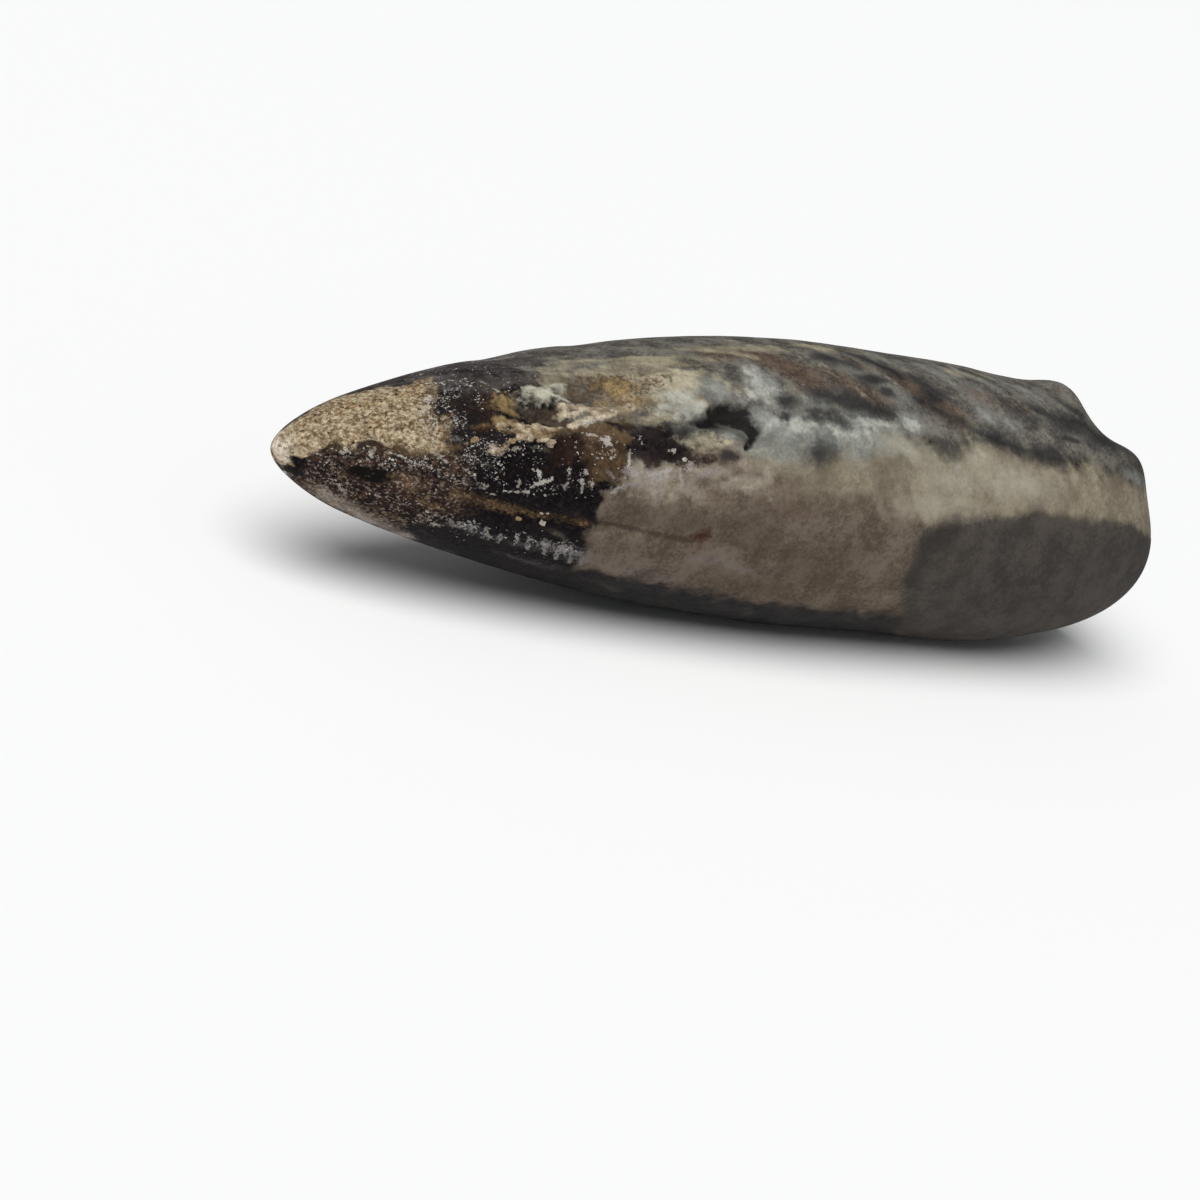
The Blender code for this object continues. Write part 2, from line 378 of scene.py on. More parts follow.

# %% [markdown]
# ### Broad grounds
#
# Mauve and grey are the bare upper side, first near the tip and then behind it. The underside is
# dark, partly in its own tone and partly as painted shade. Taupe is the dull crust on the front,
# with dusk where it is darker, a pale film along its first edge, and a dark line painted along the
# hairline crease as the shade in its groove. Cream is the paler band above it, and glow its
# brightest places. Slate is the rubbed grey at the rear, and brink its dark border.

# %% Fields of the grounds
fields = {
    "mauve": zone(between(SW, 6.5, 19, 1, 1.8), within(-110, 108, 9)),
    "grey": zone(beyond(SW, 19, 3), within(-75, 134, 10)),
    # The underside: its own dark tone, darkened further as painted shade.
    "underside_tone_and_shade": zone(beyond(S, 25.5, 3), within(209, 285, 12)),
    "taupe": zone(
        beyond(SW, crust_edge, 0.8), beyond(-S, -57, 4), between(PHIW, 141, 211, 9, 10),
    ),
    "dusk": spots(
        (41.5, 188, 3.5, 11), (38.2, 166, 2.4, 3), (35, 176, 2.2, 6), (29, 175, 3, 4), (37.5, 202, 4, 5),
        (26, 177, 2.2, 4), (35.8, 182.5, 2.6, 4.5), (34.4, 184, 1.4, 3),
    ),
    "film": any_of(
        0.82 * zone(between(SW, 24.2, 30, 0.8, 4), within(150.5, 164, 4)),
        spots((26, 161.5, 2.4, 5.6), (30.2, 151.5, 2.2, 2.6), (35.8, 150.5, 2.4, 2.6), (34, 158.5, 1.8, 3)),
    ),
    # A dark line painted along the crease, as the shade in its groove.
    "crease_shade": strokes(0.2, (21.5, 183, 25, 183.2, 30.6, 184.2)),
    "cream": any_of(
        zone(beyond(SW, 45, 7), within(134, 161, 8)),
        spots((43, 151, 5, 8), (37, 150, 2.5, 4)),
    ) + 0.2 * wisps,
    "glow": spots(
        (56, 139.5, 2, 4), (58.5, 146, 5, 6), (48, 137, 3, 4), (52, 159, 3.4, 5), (36.2, 142.5, 2.6, 4.5),
        (53, 146, 3, 5),
    ) + 0.25 * wisps,
    "slate": zone(
        beyond(SW, slate_edge, 1.6), beyond(PHIW, slate_top, 5), beyond(-PHI, -262, 12),
    ),
    "brink": any_of(
        strokes(0.9, (54, 163.5, 52.4, 168, 51.5, 174, 51.3, 182, 52, 190)),
        spots((79, 166, 2.6, 12), (80, 176, 2, 14)),
    ),
}
print("grounds:", ", ".join(fields))

# %% [markdown]
# ### Stains of the upper side
#
# Clouds are pale grey weathering, and wisps the whiter shreds in them. Brown and dark are the
# stains that iron and manganese leave, and the dark field also paints a shadow in a notch near the
# broken rear. Pale and straw are the cream and yellowish streaks round the hollow. Drift and wisps
# of noise are added to each, so the stains run along the stone.

# %% Fields of the stains
fields |= {
    "cloud": any_of(
        spots(
            (35.5, 132, 3, 8), (38, 137, 4.5, 8), (42.5, 136, 4.5, 8), (44.5, 130, 3.2, 5),
            (49.2, 125, 1.4, 4), (36.3, 114, 1.5, 8), (31.8, 115, 2.6, 5), (36, 142, 2.6, 5),
            (40.5, 121, 1.2, 3), (32.4, 136.4, 1, 2.4), (60.5, 91, 2.6, 5), (76, 131.5, 1.7, 2.6),
            (78.2, 128.5, 1, 3),
        ),
        0.62 * strokes(
            1, (55, 84, 56, 92, 57.5, 99, 59, 105), (58.5, 87, 60, 92, 61.5, 98), (36.5, 101, 36.4, 106),
        ),
        0.56 * strokes(
            0.9, (44.5, 97, 46.5, 101), (48.4, 108, 49.8, 115), (64, 92, 66, 101),
            (57.6, 116, 60.5, 118.5), (50, 82, 52, 88),
        ),
        spots(*cloud_blots),
    ) + (0.25 * drift + 0.25 * wisps) * upper,
    "wisp": spots(
        (36.6, 119, 1, 6), (35.8, 110, 0.8, 5), (43, 131, 2.4, 3), (48.8, 125, 1.2, 2.6),
        (46, 128, 1.6, 2), (38.5, 132, 1.6, 3), (36.4, 129, 0.8, 3), (34.8, 118, 0.8, 3),
        (28.4, 121.8, 1.5, 4), (28.9, 126.5, 0.9, 2.6), (30.6, 125, 0.6, 1.6), (28.2, 121.6, 0.9, 2.6),
        (27.2, 124, 0.8, 2),
    ) + 0.35 * wisps * upper,
    "brown": any_of(
        spots((35, 92, 2, 5), (54.5, 119, 1.2, 4)),
        strokes(
            1.2, (38.2, 98, 39.6, 104, 41.2, 111), (43.4, 107, 45.2, 113, 46.4, 118),
            (50.2, 101, 51.8, 109, 53.2, 116, 54.6, 121),
        ),
        0.6 * strokes(0.9, (58, 104, 60, 108, 63, 110), (46, 93, 47, 97)),
        spots(*brown_blots),
    ) - 0.2 * drift,
    # Dark stains, and a painted shadow in a notch: the spot at 68.6, 113 and the stroke from 64, 109 to
    # 70.5, 115.
    "dark_stain_and_shadow": any_of(
        spots(
            (41.6, 128.5, 1.9, 3.8), (40.2, 143.5, 1.5, 4.2), (37.6, 122, 1, 4), (32.1, 145.2, 0.9, 2),
            (57.6, 128.6, 1.2, 1.4), (67.2, 121.6, 1.2, 1.8), (37.3, 127, 0.7, 2.6),
            (28.7, 135, 0.8, 2.2), (29.9, 132, 0.8, 1.8), (71.5, 119, 2.6, 6), (77.6, 126, 2, 6),
            (44, 96.5, 2, 5), (48.2, 112, 1, 3), (31, 134, 0.8, 1.2), (68.6, 113, 2.8, 6),
            (38.2, 121.5, 1, 2.6), (53, 112, 1.6, 5), (47, 104, 1.6, 3), (72.5, 120, 2, 4),
        ),
        0.62 * spots((52.4, 132.5, 1.6, 4)),
        0.34 * spots(
            (43.2, 128, 1.2, 3), (49.2, 123, 1.6, 3), (66, 100.5, 2, 4), (42, 105.5, 1.6, 4),
            (35.2, 184.5, 2, 2.6),
        ),
        0.78 * strokes(
            0.9, (40.8, 117, 43.5, 120, 46, 121, 47.8, 122.5),
            (51.2, 114, 53.6, 120, 56.5, 126.5, 60, 130.5, 65.5, 133), (64, 109, 67, 112.5, 70.5, 115),
        ),
        0.8 * strokes(
            0.8, (46.6, 85, 48.8, 91, 50.6, 98), (52, 101, 53.4, 107, 55, 112), (61, 111, 64, 114),
            (59.5, 86, 61.5, 93), (69, 98, 70.4, 107),
        ),
        0.8 * spots(*dark_blots),
    ) + 0.12 * drift,
    "pale": any_of(
        0.9 * strokes(
            0.4, (24.6, 117, 26, 113, 27.4, 110.5, 30, 109, 31.8, 106), (25.5, 107, 28, 107, 29.5, 104.5),
        ),
        0.7 * strokes(0.5, (31.8, 106, 32.8, 110, 33.8, 116)),
        spots(
            (26.6, 112, 1.9, 6), (26.5, 121, 2.2, 4.5), (29.6, 107.5, 1.6, 3.4), (28.6, 119.5, 1.5, 5),
            (24, 123, 1.3, 3), (30.4, 124, 1.2, 2.2), (28.4, 113, 1.8, 4), (30.2, 139.8, 1.8, 2.6),
            (32.2, 139.2, 0.7, 1.4), (26.5, 117, 2.5, 5), (26.4, 128.6, 1.2, 3),
        ),
        0.5 * spots(*pale_blots),
        0.36 * spots(
            (46, 117.5, 1.4, 4), (62, 129.5, 1.4, 2.4), (27.2, 112.5, 2, 5), (26.2, 130, 1.2, 3),
        ),
    ) + 0.4 * wisps * beyond(S, 18, 2) * upper,
    "straw": any_of(
        strokes(
            0.22, (23.6, 97, 26, 98.5, 29, 99, 31.6, 101), (22.8, 103, 24.6, 103.4, 27, 105),
            (19, 98, 21, 101.5, 23.4, 101.5), (26, 93, 30, 95, 33.5, 99), (19.5, 90, 23, 91.5, 26, 93),
            (31, 88, 35, 92, 37, 97),
        ),
        spots(
            (25.4, 101, 2.2, 4), (22.6, 99, 1.4, 3), (28, 96, 3, 3), (45.5, 84, 3, 3),
            (19.2, 104, 1.3, 4), (26.2, 99.5, 1.8, 3.5), (59.5, 90, 2.4, 4), (37, 88, 4, 4),
            (21, 95, 1.6, 3),
        ),
    ) + 0.55 * wisps * beyond(S, 16, 2) * upper,
}
print("with the stains:", len(fields), "fields")

# %% [markdown]
# ### The crumbly hollow
#
# Mint is a pale greenish lump, and recess is the dull nook beside it. The pocket is a dark nook at
# the foot of the crusty ridge, in part its own dark tone and in part painted shade. Purple,
# redbrown and amber are the three tones of the polished band, and the red-brown one also paints
# the band's brown sheen. Honey is a yellow stain. Crust is tan clay, and crumb the cream lime that
# has broken into crumbs along its ridge.

# %% Fields of the hollow
fields |= {
    "mint": spots(
        (17.9, 114, 1.05, 5.4), (18.9, 117.5, 0.8, 2.6), (17, 110.5, 0.7, 2.4), (19.6, 109.5, 0.8, 2),
        (19.3, 119, 0.5, 1.4),
    ),
    "recess": spots(
        (20.9, 113.5, 1.3, 4.6), (22, 105.8, 1.2, 1.7), (22.6, 110, 0.55, 3.4), (19.7, 106, 1.3, 1.6),
        (22.3, 118, 0.8, 2.4), (30.5, 100.5, 1.6, 1.3), (24.8, 97.5, 1.5, 1.2), (27.4, 103, 1.4, 1.4),
        (34.5, 99, 1, 2),
    ),
    "purple": spots(
        (11.9, 106, 1.1, 9), (12.1, 118, 0.9, 9), (12.2, 131, 0.9, 7), (28, 146.5, 2.2, 2.8),
        (26.4, 147.5, 1.5, 3.4), (25.8, 149.5, 1, 4.4), (24.4, 134.2, 1, 2.4), (25.7, 138.2, 1, 3),
        (27.3, 142.4, 1.2, 2.4), (23.4, 132.2, 0.7, 1.4),
    ),
    # A dark nook at the foot of the crusty ridge: its own dark tone, and painted shade.
    "pocket_tone_and_shade": any_of(
        spots((17.6, 128.6, 1.2, 3), (18.8, 127.5, 0.9, 3.4), (16.8, 126, 0.7, 2.8)),
        strokes(0.36, (15.9, 113, 15.95, 119, 16.6, 124, 17.6, 128, 19.2, 130.5, 19.6, 132.6)),
    ),
    # The red-brown tone of the polished band, partly a painted sheen.
    "redbrown_and_sheen": any_of(
        spots((13.8, 121, 0.95, 15), (13.6, 136, 0.9, 5)),
        zone(between(S, 18.2, 21.4, 1.2, 0.4), within(139, 156, 4)),
    ),
    "amber": any_of(
        zone(between(SW, 21.3, 24.4, 0.6, 0.6), within(133, 164, 4)),
        strokes(0.3, (17.8, 137.2, 19.5, 136.2, 21.5, 134.8, 23.5, 132.5)),
    ),
    "honey": spots(
        (8.6, 102, 1.4, 5.5), (15.15, 121, 0.7, 8), (24.4, 110.5, 0.95, 5), (23.8, 107, 0.9, 2.2),
        (14.9, 130.5, 0.5, 3),
    ),
    "crust": spots(
        (15.3, 134.2, 0.9, 3), (16.8, 136.6, 1.2, 3.4), (18.3, 136, 0.9, 1.8), (14.8, 131.5, 0.5, 2.4),
        (15.6, 139.5, 0.7, 1.8), (17.5, 139.8, 0.8, 1.4), (24.6, 120.5, 1.8, 3), (22.7, 121.5, 1, 2.4),
    ) * (1 + 0.55 * lumpy),
    "crumb": any_of(
        strokes(
            0.24, (13.9, 149.5, 14.6, 147.8, 15, 145), (15.8, 141, 16.8, 141),
            (20, 134, 20.9, 133, 21.9, 130.4, 23.2, 126.4, 24.8, 123.4),
            (16, 133.8, 17.4, 134, 18.4, 135),
        ),
        spots(
            (20, 124.8, 0.85, 3), (21.2, 126.6, 0.9, 2.4), (20.4, 129.4, 0.6, 1.6),
            (22.4, 124.8, 0.6, 1.4), (19.5, 127.5, 0.4, 2.6), (21.3, 132, 0.5, 1.6),
            (16.3, 137, 0.4, 1.3), (17.6, 142, 0.3, 1), (14.8, 135.6, 0.35, 1.2),
        ),
    ) * (1 + 0.5 * lumpy),
}
print("with the hollow:", len(fields), "fields")

# %% [markdown]
# ### The tip
#
# Tan is the granular tip with its worn white cap, and umber the brown along its lower edge.
# Sandy is the silt below it, hem its pale lower border and lens the black eye in it. Ochre are
# the yellow-brown streaks, and rust two small red spots.

# %% Fields of the tip
fields |= {
    "sandy": any_of(
        zone(beyond(S, 1.8, 0.6), beyond(sandy_edge - S, 0, 2.2), within(150, 232, 10)),
        zone(beyond(S, 0.7, 0.4), beyond(-SW, -7.5, 1.5), within(222, 430, 10)),
    ),
    "hem": strokes(0.75, (3.6, 224, 5.5, 228, 8, 234, 11, 240)) + 0.35 * spots((6.5, 222, 3, 8)),
    "lens": spots((6.4, 177.5, 1.35, 7), (5.3, 174, 0.8, 5)),
    "tan": any_of(
        zone(beyond(-SW, -10.5, 1.1), between(PHIW, tan_back, tan_front, 8, 8)) + tan_fray,
        beyond(0.8 * lumpy - S, -0.7, 0.5),
    ),
    "cap": zone(beyond(0.6 * lumpy - S, -0.55, 0.5), within(60, 215, 25)),
    "umber": zone(
        between(SW, 3, 11.6, 0.8, 0.8), between(PHIW, tan_front - 4, tan_front + 9, 3, 4),
    ),
    "ochre": any_of(
        spots(
            (23.6, 115.5, 1.1, 2.4), (24.4, 111.5, 1.3, 6.4), (24, 105, 1.4, 2.4), (8.4, 178, 0.8, 5.5),
            (8.9, 182, 0.5, 3), (7.6, 99, 1, 9), (10, 102, 0.9, 7), (9.7, 128, 0.7, 7),
            (8.3, 132, 0.8, 5), (11.2, 191, 1.5, 3), (13.3, 135, 0.5, 1.6), (15, 134, 0.6, 2),
            (17.3, 137.4, 0.6, 1.6), (27.2, 108.5, 1, 2.4),
        ),
        strokes(0.34, (12, 179.8, 13.4, 181, 15, 182.2, 16.6, 182.8)),
        strokes(0.22, (16.6, 182.8, 18, 183.2, 20.6, 184, 22.2, 184.6))
        * (0.92 + 0.5 * streaks(1.8, 0.5, 1, 91)),
    ),
    "rust": spots((31.5, 181.6, 0.62, 4), (13.3, 137.5, 0.3, 1.6)),
}
print("with the tip:", len(fields), "fields")

# %% [markdown]
# ### Lime, and the painted shade in the pit
#
# Haze is thin lime dust. Chalk are short white strokes, frost the rough white bloom along the
# first edge of the taupe crust and low on the black. The pit is painted near-black, as painted
# shade in its hollow. Fleck is how densely flecks lie: zones with a thin sprinkling, and spots
# where they crowd.

# %% Fields of lime, and of the painted shade in the pit
# Amount, then first and last s and how soft each is, then first and last phi and how soft.
SPRINKLED = (
    (0.22, (1.5, 9.5, 0.8, 1.5), (150, 205, 12)),
    (0.16, (11.5, 22.2, 1.0, 0.6), (152, 174, 4)),
    (0.24, (10.5, 22.2, 1.5, 0.6), (197.5, 209, 4)),
    (0.20, (11.0, 16.5, 1.0, 1.5), (136, 158, 4)),
    (0.48, (9.8, 13.8, 0.8, 1.0), (98, 150, 8)),
    (0.16, (13.0, 25.0, 1.0, 1.5), (141, 156, 4)),
    (0.20, (8.0, 20.0, 1.5, 2.0), (60, 108, 8)),
)
fleck_share = sum(
    share * zone(between(S, *ends), within(*sector)) for share, ends, sector in SPRINKLED
)
fields |= {
    "haze": 0.85 * spots(
        (20.4, 203, 1.6, 4), (23, 204, 1.3, 6), (20.5, 218, 2, 2.4), (18, 205, 1.5, 2.6), (28, 205, 3, 4),
        (8, 238, 4, 9), (13.6, 205, 1.2, 3), (35, 193, 4, 2),
    ) + zone(between(S, 8, 19, 2, 2), within(55, 110, 6)) * (0.25 + 0.8 * wisps),
    "chalk": any_of(
        strokes(
            0.09, (22.7, 141, 22.9, 144.6), (23.1, 147, 23.15, 151.5),
            (24.35, 146.5, 24.4, 150, 24.45, 155), (19.8, 157.5, 19.6, 161, 19.4, 166.5),
            (17.5, 158.5, 17.8, 161.5, 18.1, 163.4), (17.2, 166, 17.9, 163.4, 18.5, 161.5),
            (20.7, 162.5, 20.8, 168.5), (16.2, 164, 16.3, 167.5), (12.3, 161, 12.9, 165.5),
            (4.2, 196, 4.9, 205), (17.5, 197.5, 17.8, 203), (13.1, 199.5, 13.7, 204.5),
            (20.6, 133.4, 21.4, 132.4, 21.9, 130), (15.4, 148.5, 15.9, 147.5),
        ),
        strokes(
            0.06, (13.9, 99, 14.3, 102.5), (14.8, 107, 15.05, 110), (20.9, 138.4, 21.9, 139.4),
            (25.1, 139.5, 25.3, 143), (15.2, 170.5, 15.9, 170.8, 16.6, 170.3), (14.2, 174, 14.8, 174.6),
            (18.8, 170, 19.3, 169.4), (11.6, 168.6, 12.6, 171.2),
            (6.8, 153.5, 7.7, 156.5, 8.8, 162, 9.8, 163.5), (10.3, 153, 10.9, 158), (10.4, 89, 11, 91.5),
            (21.2, 139.6, 22, 139.2),
        ),
        spots(
            (28.7, 148.6, 0.3, 1), (27.3, 145, 0.2, 0.8), (3.9, 148, 0.2, 2.2), (5.8, 153, 0.18, 2.4),
            (13.8, 168, 0.18, 1.8), (17, 167, 0.18, 0.9), (10.3, 107, 0.3, 2.6), (10.1, 114, 0.34, 3),
            (9.7, 121, 0.4, 3.2), (9.5, 126, 0.34, 2.6), (9.8, 132, 0.22, 1.8), (2.4, 158, 0.14, 2.4),
            (21.3, 160, 0.14, 1), (21.4, 165.5, 0.2, 1.2), (22.7, 142.4, 0.34, 1.6),
            (23, 145.2, 0.26, 1.4), (12, 208, 0.24, 1.8), (19.8, 200.5, 0.3, 1.2),
        ),
    ),
    "frost": any_of(
        strokes(
            0.12, (22.9, 168, 23.8, 164, 24.6, 161.8), (23.1, 166.2, 24.2, 162.6, 25.2, 160.8),
            (24.6, 163.5, 26, 159.5, 27.4, 157), (26.9, 160, 26.9, 168),
            (25.6, 157.5, 27, 154.5, 29, 152), (28.4, 156, 28.5, 160), (22.8, 157.5, 23.2, 161),
            (24.9, 153, 25, 157), (17.5, 198, 17.9, 204), (26, 162.5, 26.4, 158),
            (29.6, 154, 31.4, 151.5), (24, 160, 24.6, 157), (12.4, 199, 12.9, 204),
            (14, 199.5, 14.4, 206), (15.2, 200, 15.7, 206), (16.4, 201, 16.8, 208),
            (18.5, 198.5, 19, 207), (19.6, 197.5, 20.3, 208), (20.8, 198.5, 21.4, 210),
            (21.8, 198, 22.5, 210), (22.8, 201, 23.2, 209),
        ),
        spots(
            (20, 200.5, 0.5, 2), (21.4, 202, 0.6, 3), (15.6, 206, 0.4, 2), (13, 203, 0.5, 2),
            (22.4, 205, 0.4, 2.4), (24.5, 157, 0.5, 2), (26.5, 156, 0.8, 2),
        ),
    ) * (1 + 0.7 * streaks(1.6, 0.5, 2, 90)),
    # Painted shade: the pit is painted near-black.
    "pit_shade": any_of(
        strokes(0.85, (31.7, 128, 32.7, 126.2, 33.8, 127.2)),
        strokes(0.55, (34, 128, 34.4, 131, 34.6, 134)),
        strokes(0.36, (34.5, 133, 34.5, 137, 34.3, 139.4)),
        strokes(0.2, (34.3, 138, 33.9, 142.4)),
        strokes(0.35, (31.6, 129.5, 31, 132, 30.2, 133)),
    ),
    "fleck": np.clip(
        fleck_share + 0.75 * spots(
            (12.7, 161, 0.9, 10), (11, 113, 1, 14), (10.4, 128, 1.1, 8), (11.4, 97, 1.3, 7),
            (12.2, 120, 1, 9), (12.4, 134, 0.9, 7), (11.8, 167, 0.8, 4), (16, 170, 0.8, 2.4),
            (13.4, 204, 0.9, 5), (12.2, 207, 1, 4), (11, 152, 1, 5), (8.8, 162, 1.6, 4),
            (20.7, 166, 0.5, 4), (19.5, 163, 0.5, 5), (18, 162, 0.6, 3), (22.9, 146, 0.3, 3),
            (15.8, 148.5, 0.8, 2), (16.2, 166, 0.5, 4), (3.9, 148, 0.8, 4), (5.8, 154, 0.8, 5),
            (21.6, 139.5, 1, 1.6),
        ),
        0, 1,
    ),
}
# The black eye stays free of flecks and silt.
bare = 1 - np.clip(2 * fields["lens"] - 0.4, 0, 1)
fields["fleck"], fields["sandy"] = fields["fleck"] * bare, fields["sandy"] * bare
for name, field in fields.items():
    fields[name] = np.clip(field, 0, 1) * ON_SIDE
print(len(fields), "fields, mean fleck", fields["fleck"].mean().round(3))

# %% [markdown]
# ## Grit, crust and the bent axis
#
# The finer relief follows the finishes: the tip is sandy and pitted, the hollow is crumbly,
# and the taupe crust stands a little proud of the polished band. Then the axis is bent, the
# broken end is tilted and the underside is worn flat, and the points are ready to be a mesh.

# %% Fine relief
COVER_SEED = 50


def cover(name, soft=0.08, ragged=0.0, size=0.8):
    """The field's share of cover: a soft step at one half, made ragged by noise."""
    field = fields[name] + ragged * lumps(STRAIGHT, size, COVER_SEED)
    t = np.clip((field - 0.5 + soft) / (2 * soft), 0, 1)
    return t * t * (3 - 2 * t)


tan, crumb, taupe = cover("tan"), cover("crumb", 0.2, 0.25, 0.5), cover("taupe", 0.1, 0.1, 0.6)
hollow = np.exp(-(((S - 21.5) / 7) ** 2) - (turn_from(118) / 17) ** 2)
crumble = weathering(STRAIGHT, 1.7, 11)
# Terraces: a slow height less itself rounded to whole steps with steep risers.
slope = weathering(STRAIGHT, 2.2, 23) * 2.6
terrace = np.floor(slope) + np.clip((slope - np.floor(slope) - 0.5) * 5 + 0.5, 0, 1)
# Where it is, how high it stands in mm, and its pattern.
grit = sum(where * height * pattern for where, height, pattern in (
    (1, 0.014, weathering(STRAIGHT, 1.6, 1)),
    (1, 0.05, weathering(STRAIGHT, 6.0, 4)),
    (tan, 0.030, weathering(STRAIGHT, 0.55, 7)),
    (tan, -0.07, lumps(STRAIGHT, 0.42, 9) > 0.55),
    (hollow, 0.20, crumble),
    (hollow, 0.10, streaks(3.0, 0.9, 2.0, 72)),
    (hollow, 0.11, terrace - slope),
    (crumb, 0.22, 0.6 + lumpy),
    (cover("mint", 0.3), 0.14, 1),
    (cover("recess", 0.3), -0.16, 1),
    (cover("pocket_tone_and_shade", 0.3), -0.12, 1),
    (taupe, 0.06, 1),
    (cover("slate", 0.2), 0.05, 1),
    (cover("pit_shade", 0.2), -0.20, 1),
))
radius = R0 + ON_SIDE * np.clip(S / 3, 0, 1) * (relief + grit)
radius, lost = broken_step(radius)
radius = radius + lost * ON_SIDE * 0.10 * weathering(STRAIGHT, 1.4, 17)
growth_rings = 0.045 * np.sin(R0 * 2 * np.pi / GROWTH_STEP) + 0.03 * lumps(STRAIGHT, 0.5, 19)
print("grit from", grit.min().round(2), "to", grit.max().round(2), "mm")

# %% Final points
swing = np.minimum(R0 / RIM, 1) * np.cos(np.radians(PHI - END_LONG_SIDE))
back = np.clip(S - SHOULDER_START, 0, None) / SHOULDER_SPAN * END_TILT * (1 - swing) / 2
x = S - back + (1 - ON_SIDE) * growth_rings
y = radius * np.cos(np.radians(PHI)) + arch(S) * np.cos(np.radians(ARCH_DIRECTION))
z = radius * np.sin(np.radians(PHI)) + arch(S) * np.sin(np.radians(ARCH_DIRECTION)) + REST_DEPTH
# The floor wears the underside flat: a soft form of "z, but never below 0".
z = (z + np.sqrt(z * z + REST_SOFTNESS**2)) / 2
POINTS = np.stack([x, y, z], axis=-1)
# A last squeeze, where it is needed, keeps the skin inside the solid's box.
end_middle = POINTS[-1].mean(axis=0)
tip = np.array([0.0, 0.0, REST_DEPTH])
lowest = np.minimum(POINTS.min((0, 1)), tip)
squeeze = np.minimum((high - low) / (POINTS.max((0, 1)) - lowest), 1)
POINTS, end_middle, tip = (low + (p - lowest) * squeeze for p in (POINTS, end_middle, tip))
print("skin, mm:", POINTS.min((0, 1)).round(2), POINTS.max((0, 1)).round(2))

# %% A closed grid as a mesh
def ring_mesh(name, points, first, last):
    """Quads between rings, and a fan of triangles to one point at each end."""
    rows, cols = points.shape[:2]
    index = np.arange(rows * cols).reshape(rows, cols)
    here, there = index, np.roll(index, -1, axis=1)
    quads = np.stack([here[:-1], there[:-1], there[1:], here[1:]], axis=-1).reshape(-1, 4)
    front_fan = np.stack([np.full(cols, rows * cols), there[0], here[0]], axis=-1)
    rear_fan = np.stack([np.full(cols, rows * cols + 1), here[-1], there[-1]], axis=-1)
    verts = np.concatenate([points.reshape(-1, 3), [first, last]])
    loops = np.concatenate([quads.ravel(), front_fan.ravel(), rear_fan.ravel()])
    sizes = np.concatenate([np.full(len(quads), 4), np.full(2 * cols, 3)])
    mesh = bpy.data.meshes.new(name)
    mesh.vertices.add(len(verts))
    mesh.vertices.foreach_set("co", (verts * MM).ravel().astype(np.float32))
    mesh.loops.add(len(loops))
    mesh.loops.foreach_set("vertex_index", loops.astype(np.int32))
    mesh.polygons.add(len(sizes))
    starts = np.concatenate([[0], np.cumsum(sizes)[:-1]])
    mesh.polygons.foreach_set("loop_start", starts.astype(np.int32))
    mesh.polygons.foreach_set("use_smooth", np.ones(len(sizes), bool))
    mesh.update(calc_edges=True)
    return mesh


def set_field(mesh, name, values):
    """Stores one number for each point, the two end points taking their ring's mean."""
    ends = [values[0].mean(), values[-1].mean()]
    attribute = mesh.attributes.new(name, "FLOAT", "POINT")
    attribute.data.foreach_set("value", np.concatenate([values.ravel(), ends]).astype(np.float32))


def show(name, mesh):
    """Puts the mesh in the scene as an object at the origin, unturned and unscaled."""
    thing = bpy.data.objects.new(name, mesh)
    bpy.context.scene.collection.objects.link(thing)
    return thing


def volume(mesh):
    """Volume in cubic millimetres, above zero where the faces point outwards."""
    solid = bmesh.new()
    solid.from_mesh(mesh)
    cubic_metres = solid.calc_volume(signed=True)
    solid.free()
    return cubic_metres / MM**3


# Four fields come from the form: the break, the floor of the step, the distance from the axis,
# and the low places in the hollow, which are darkened there as painted shade.
fields["end_face"] = 1 - ON_SIDE
fields["lost"] = lost * ON_SIDE
fields["growth"] = R0
# Painted shade: darker where the crumbly relief is low.
fields["nook_shade"] = hollow * ON_SIDE * np.clip(0.5 - crumble * 1.1 - lumpy * 0.6, 0, 1)
skin_mesh = ring_mesh("guard_skin", POINTS, tip, end_middle)
for name, field in fields.items():
    set_field(skin_mesh, name, field)
skin = show("guard_skin", skin_mesh)
print("skin:", len(skin_mesh.polygons), "faces,", round(volume(skin_mesh)), "mm3")

# %% [markdown]
# ## The finish: weathered calcite under thin crusts
#
# Calcite is a clear mineral with an index of refraction near 1.6. Here it is stained nearly
# black, and polished by handling where no crust covers it, so it has a soft gloss. Crusts of
# clay and lime are chalky and dull. The material is a stack: dark calcite first, then one
# layer for each field. Noise moves each layer's edge, so no edge looks drawn.

# %% Colours and one node maker
def colour(hex_code):
    """sRGB hex to linear: the curve of the sRGB standard."""
    c = np.array([int(hex_code[i : i + 2], 16) for i in (1, 3, 5)]) / 255
    linear = np.where(c <= 0.04045, c / 12.92, ((c + 0.055) / 1.055) ** 2.4)
    return (*linear.tolist(), 1.0)


def add(tree, kind, inputs=(), **settings):
    """Adds a node with its settings and links, and gives its outputs.

    Each input is a number, a vector, a hex colour or another node's socket.
    """
    node = tree.nodes.new("ShaderNode" + kind)
    for key, value in settings.items():
        setattr(node, key, value)
    for key, value in dict(inputs).items():
        if isinstance(value, bpy.types.NodeSocket):
            tree.links.new(value, node.inputs[key])
        else:
            node.inputs[key].default_value = colour(value) if isinstance(value, str) else value
    return node.outputs


def empty_material(name):
    """A material without nodes, and the node maker for its tree."""
    material = bpy.data.materials.new(name)
    material.use_nodes = True
    material.node_tree.nodes.clear()
    return material, partial(add, material.node_tree)


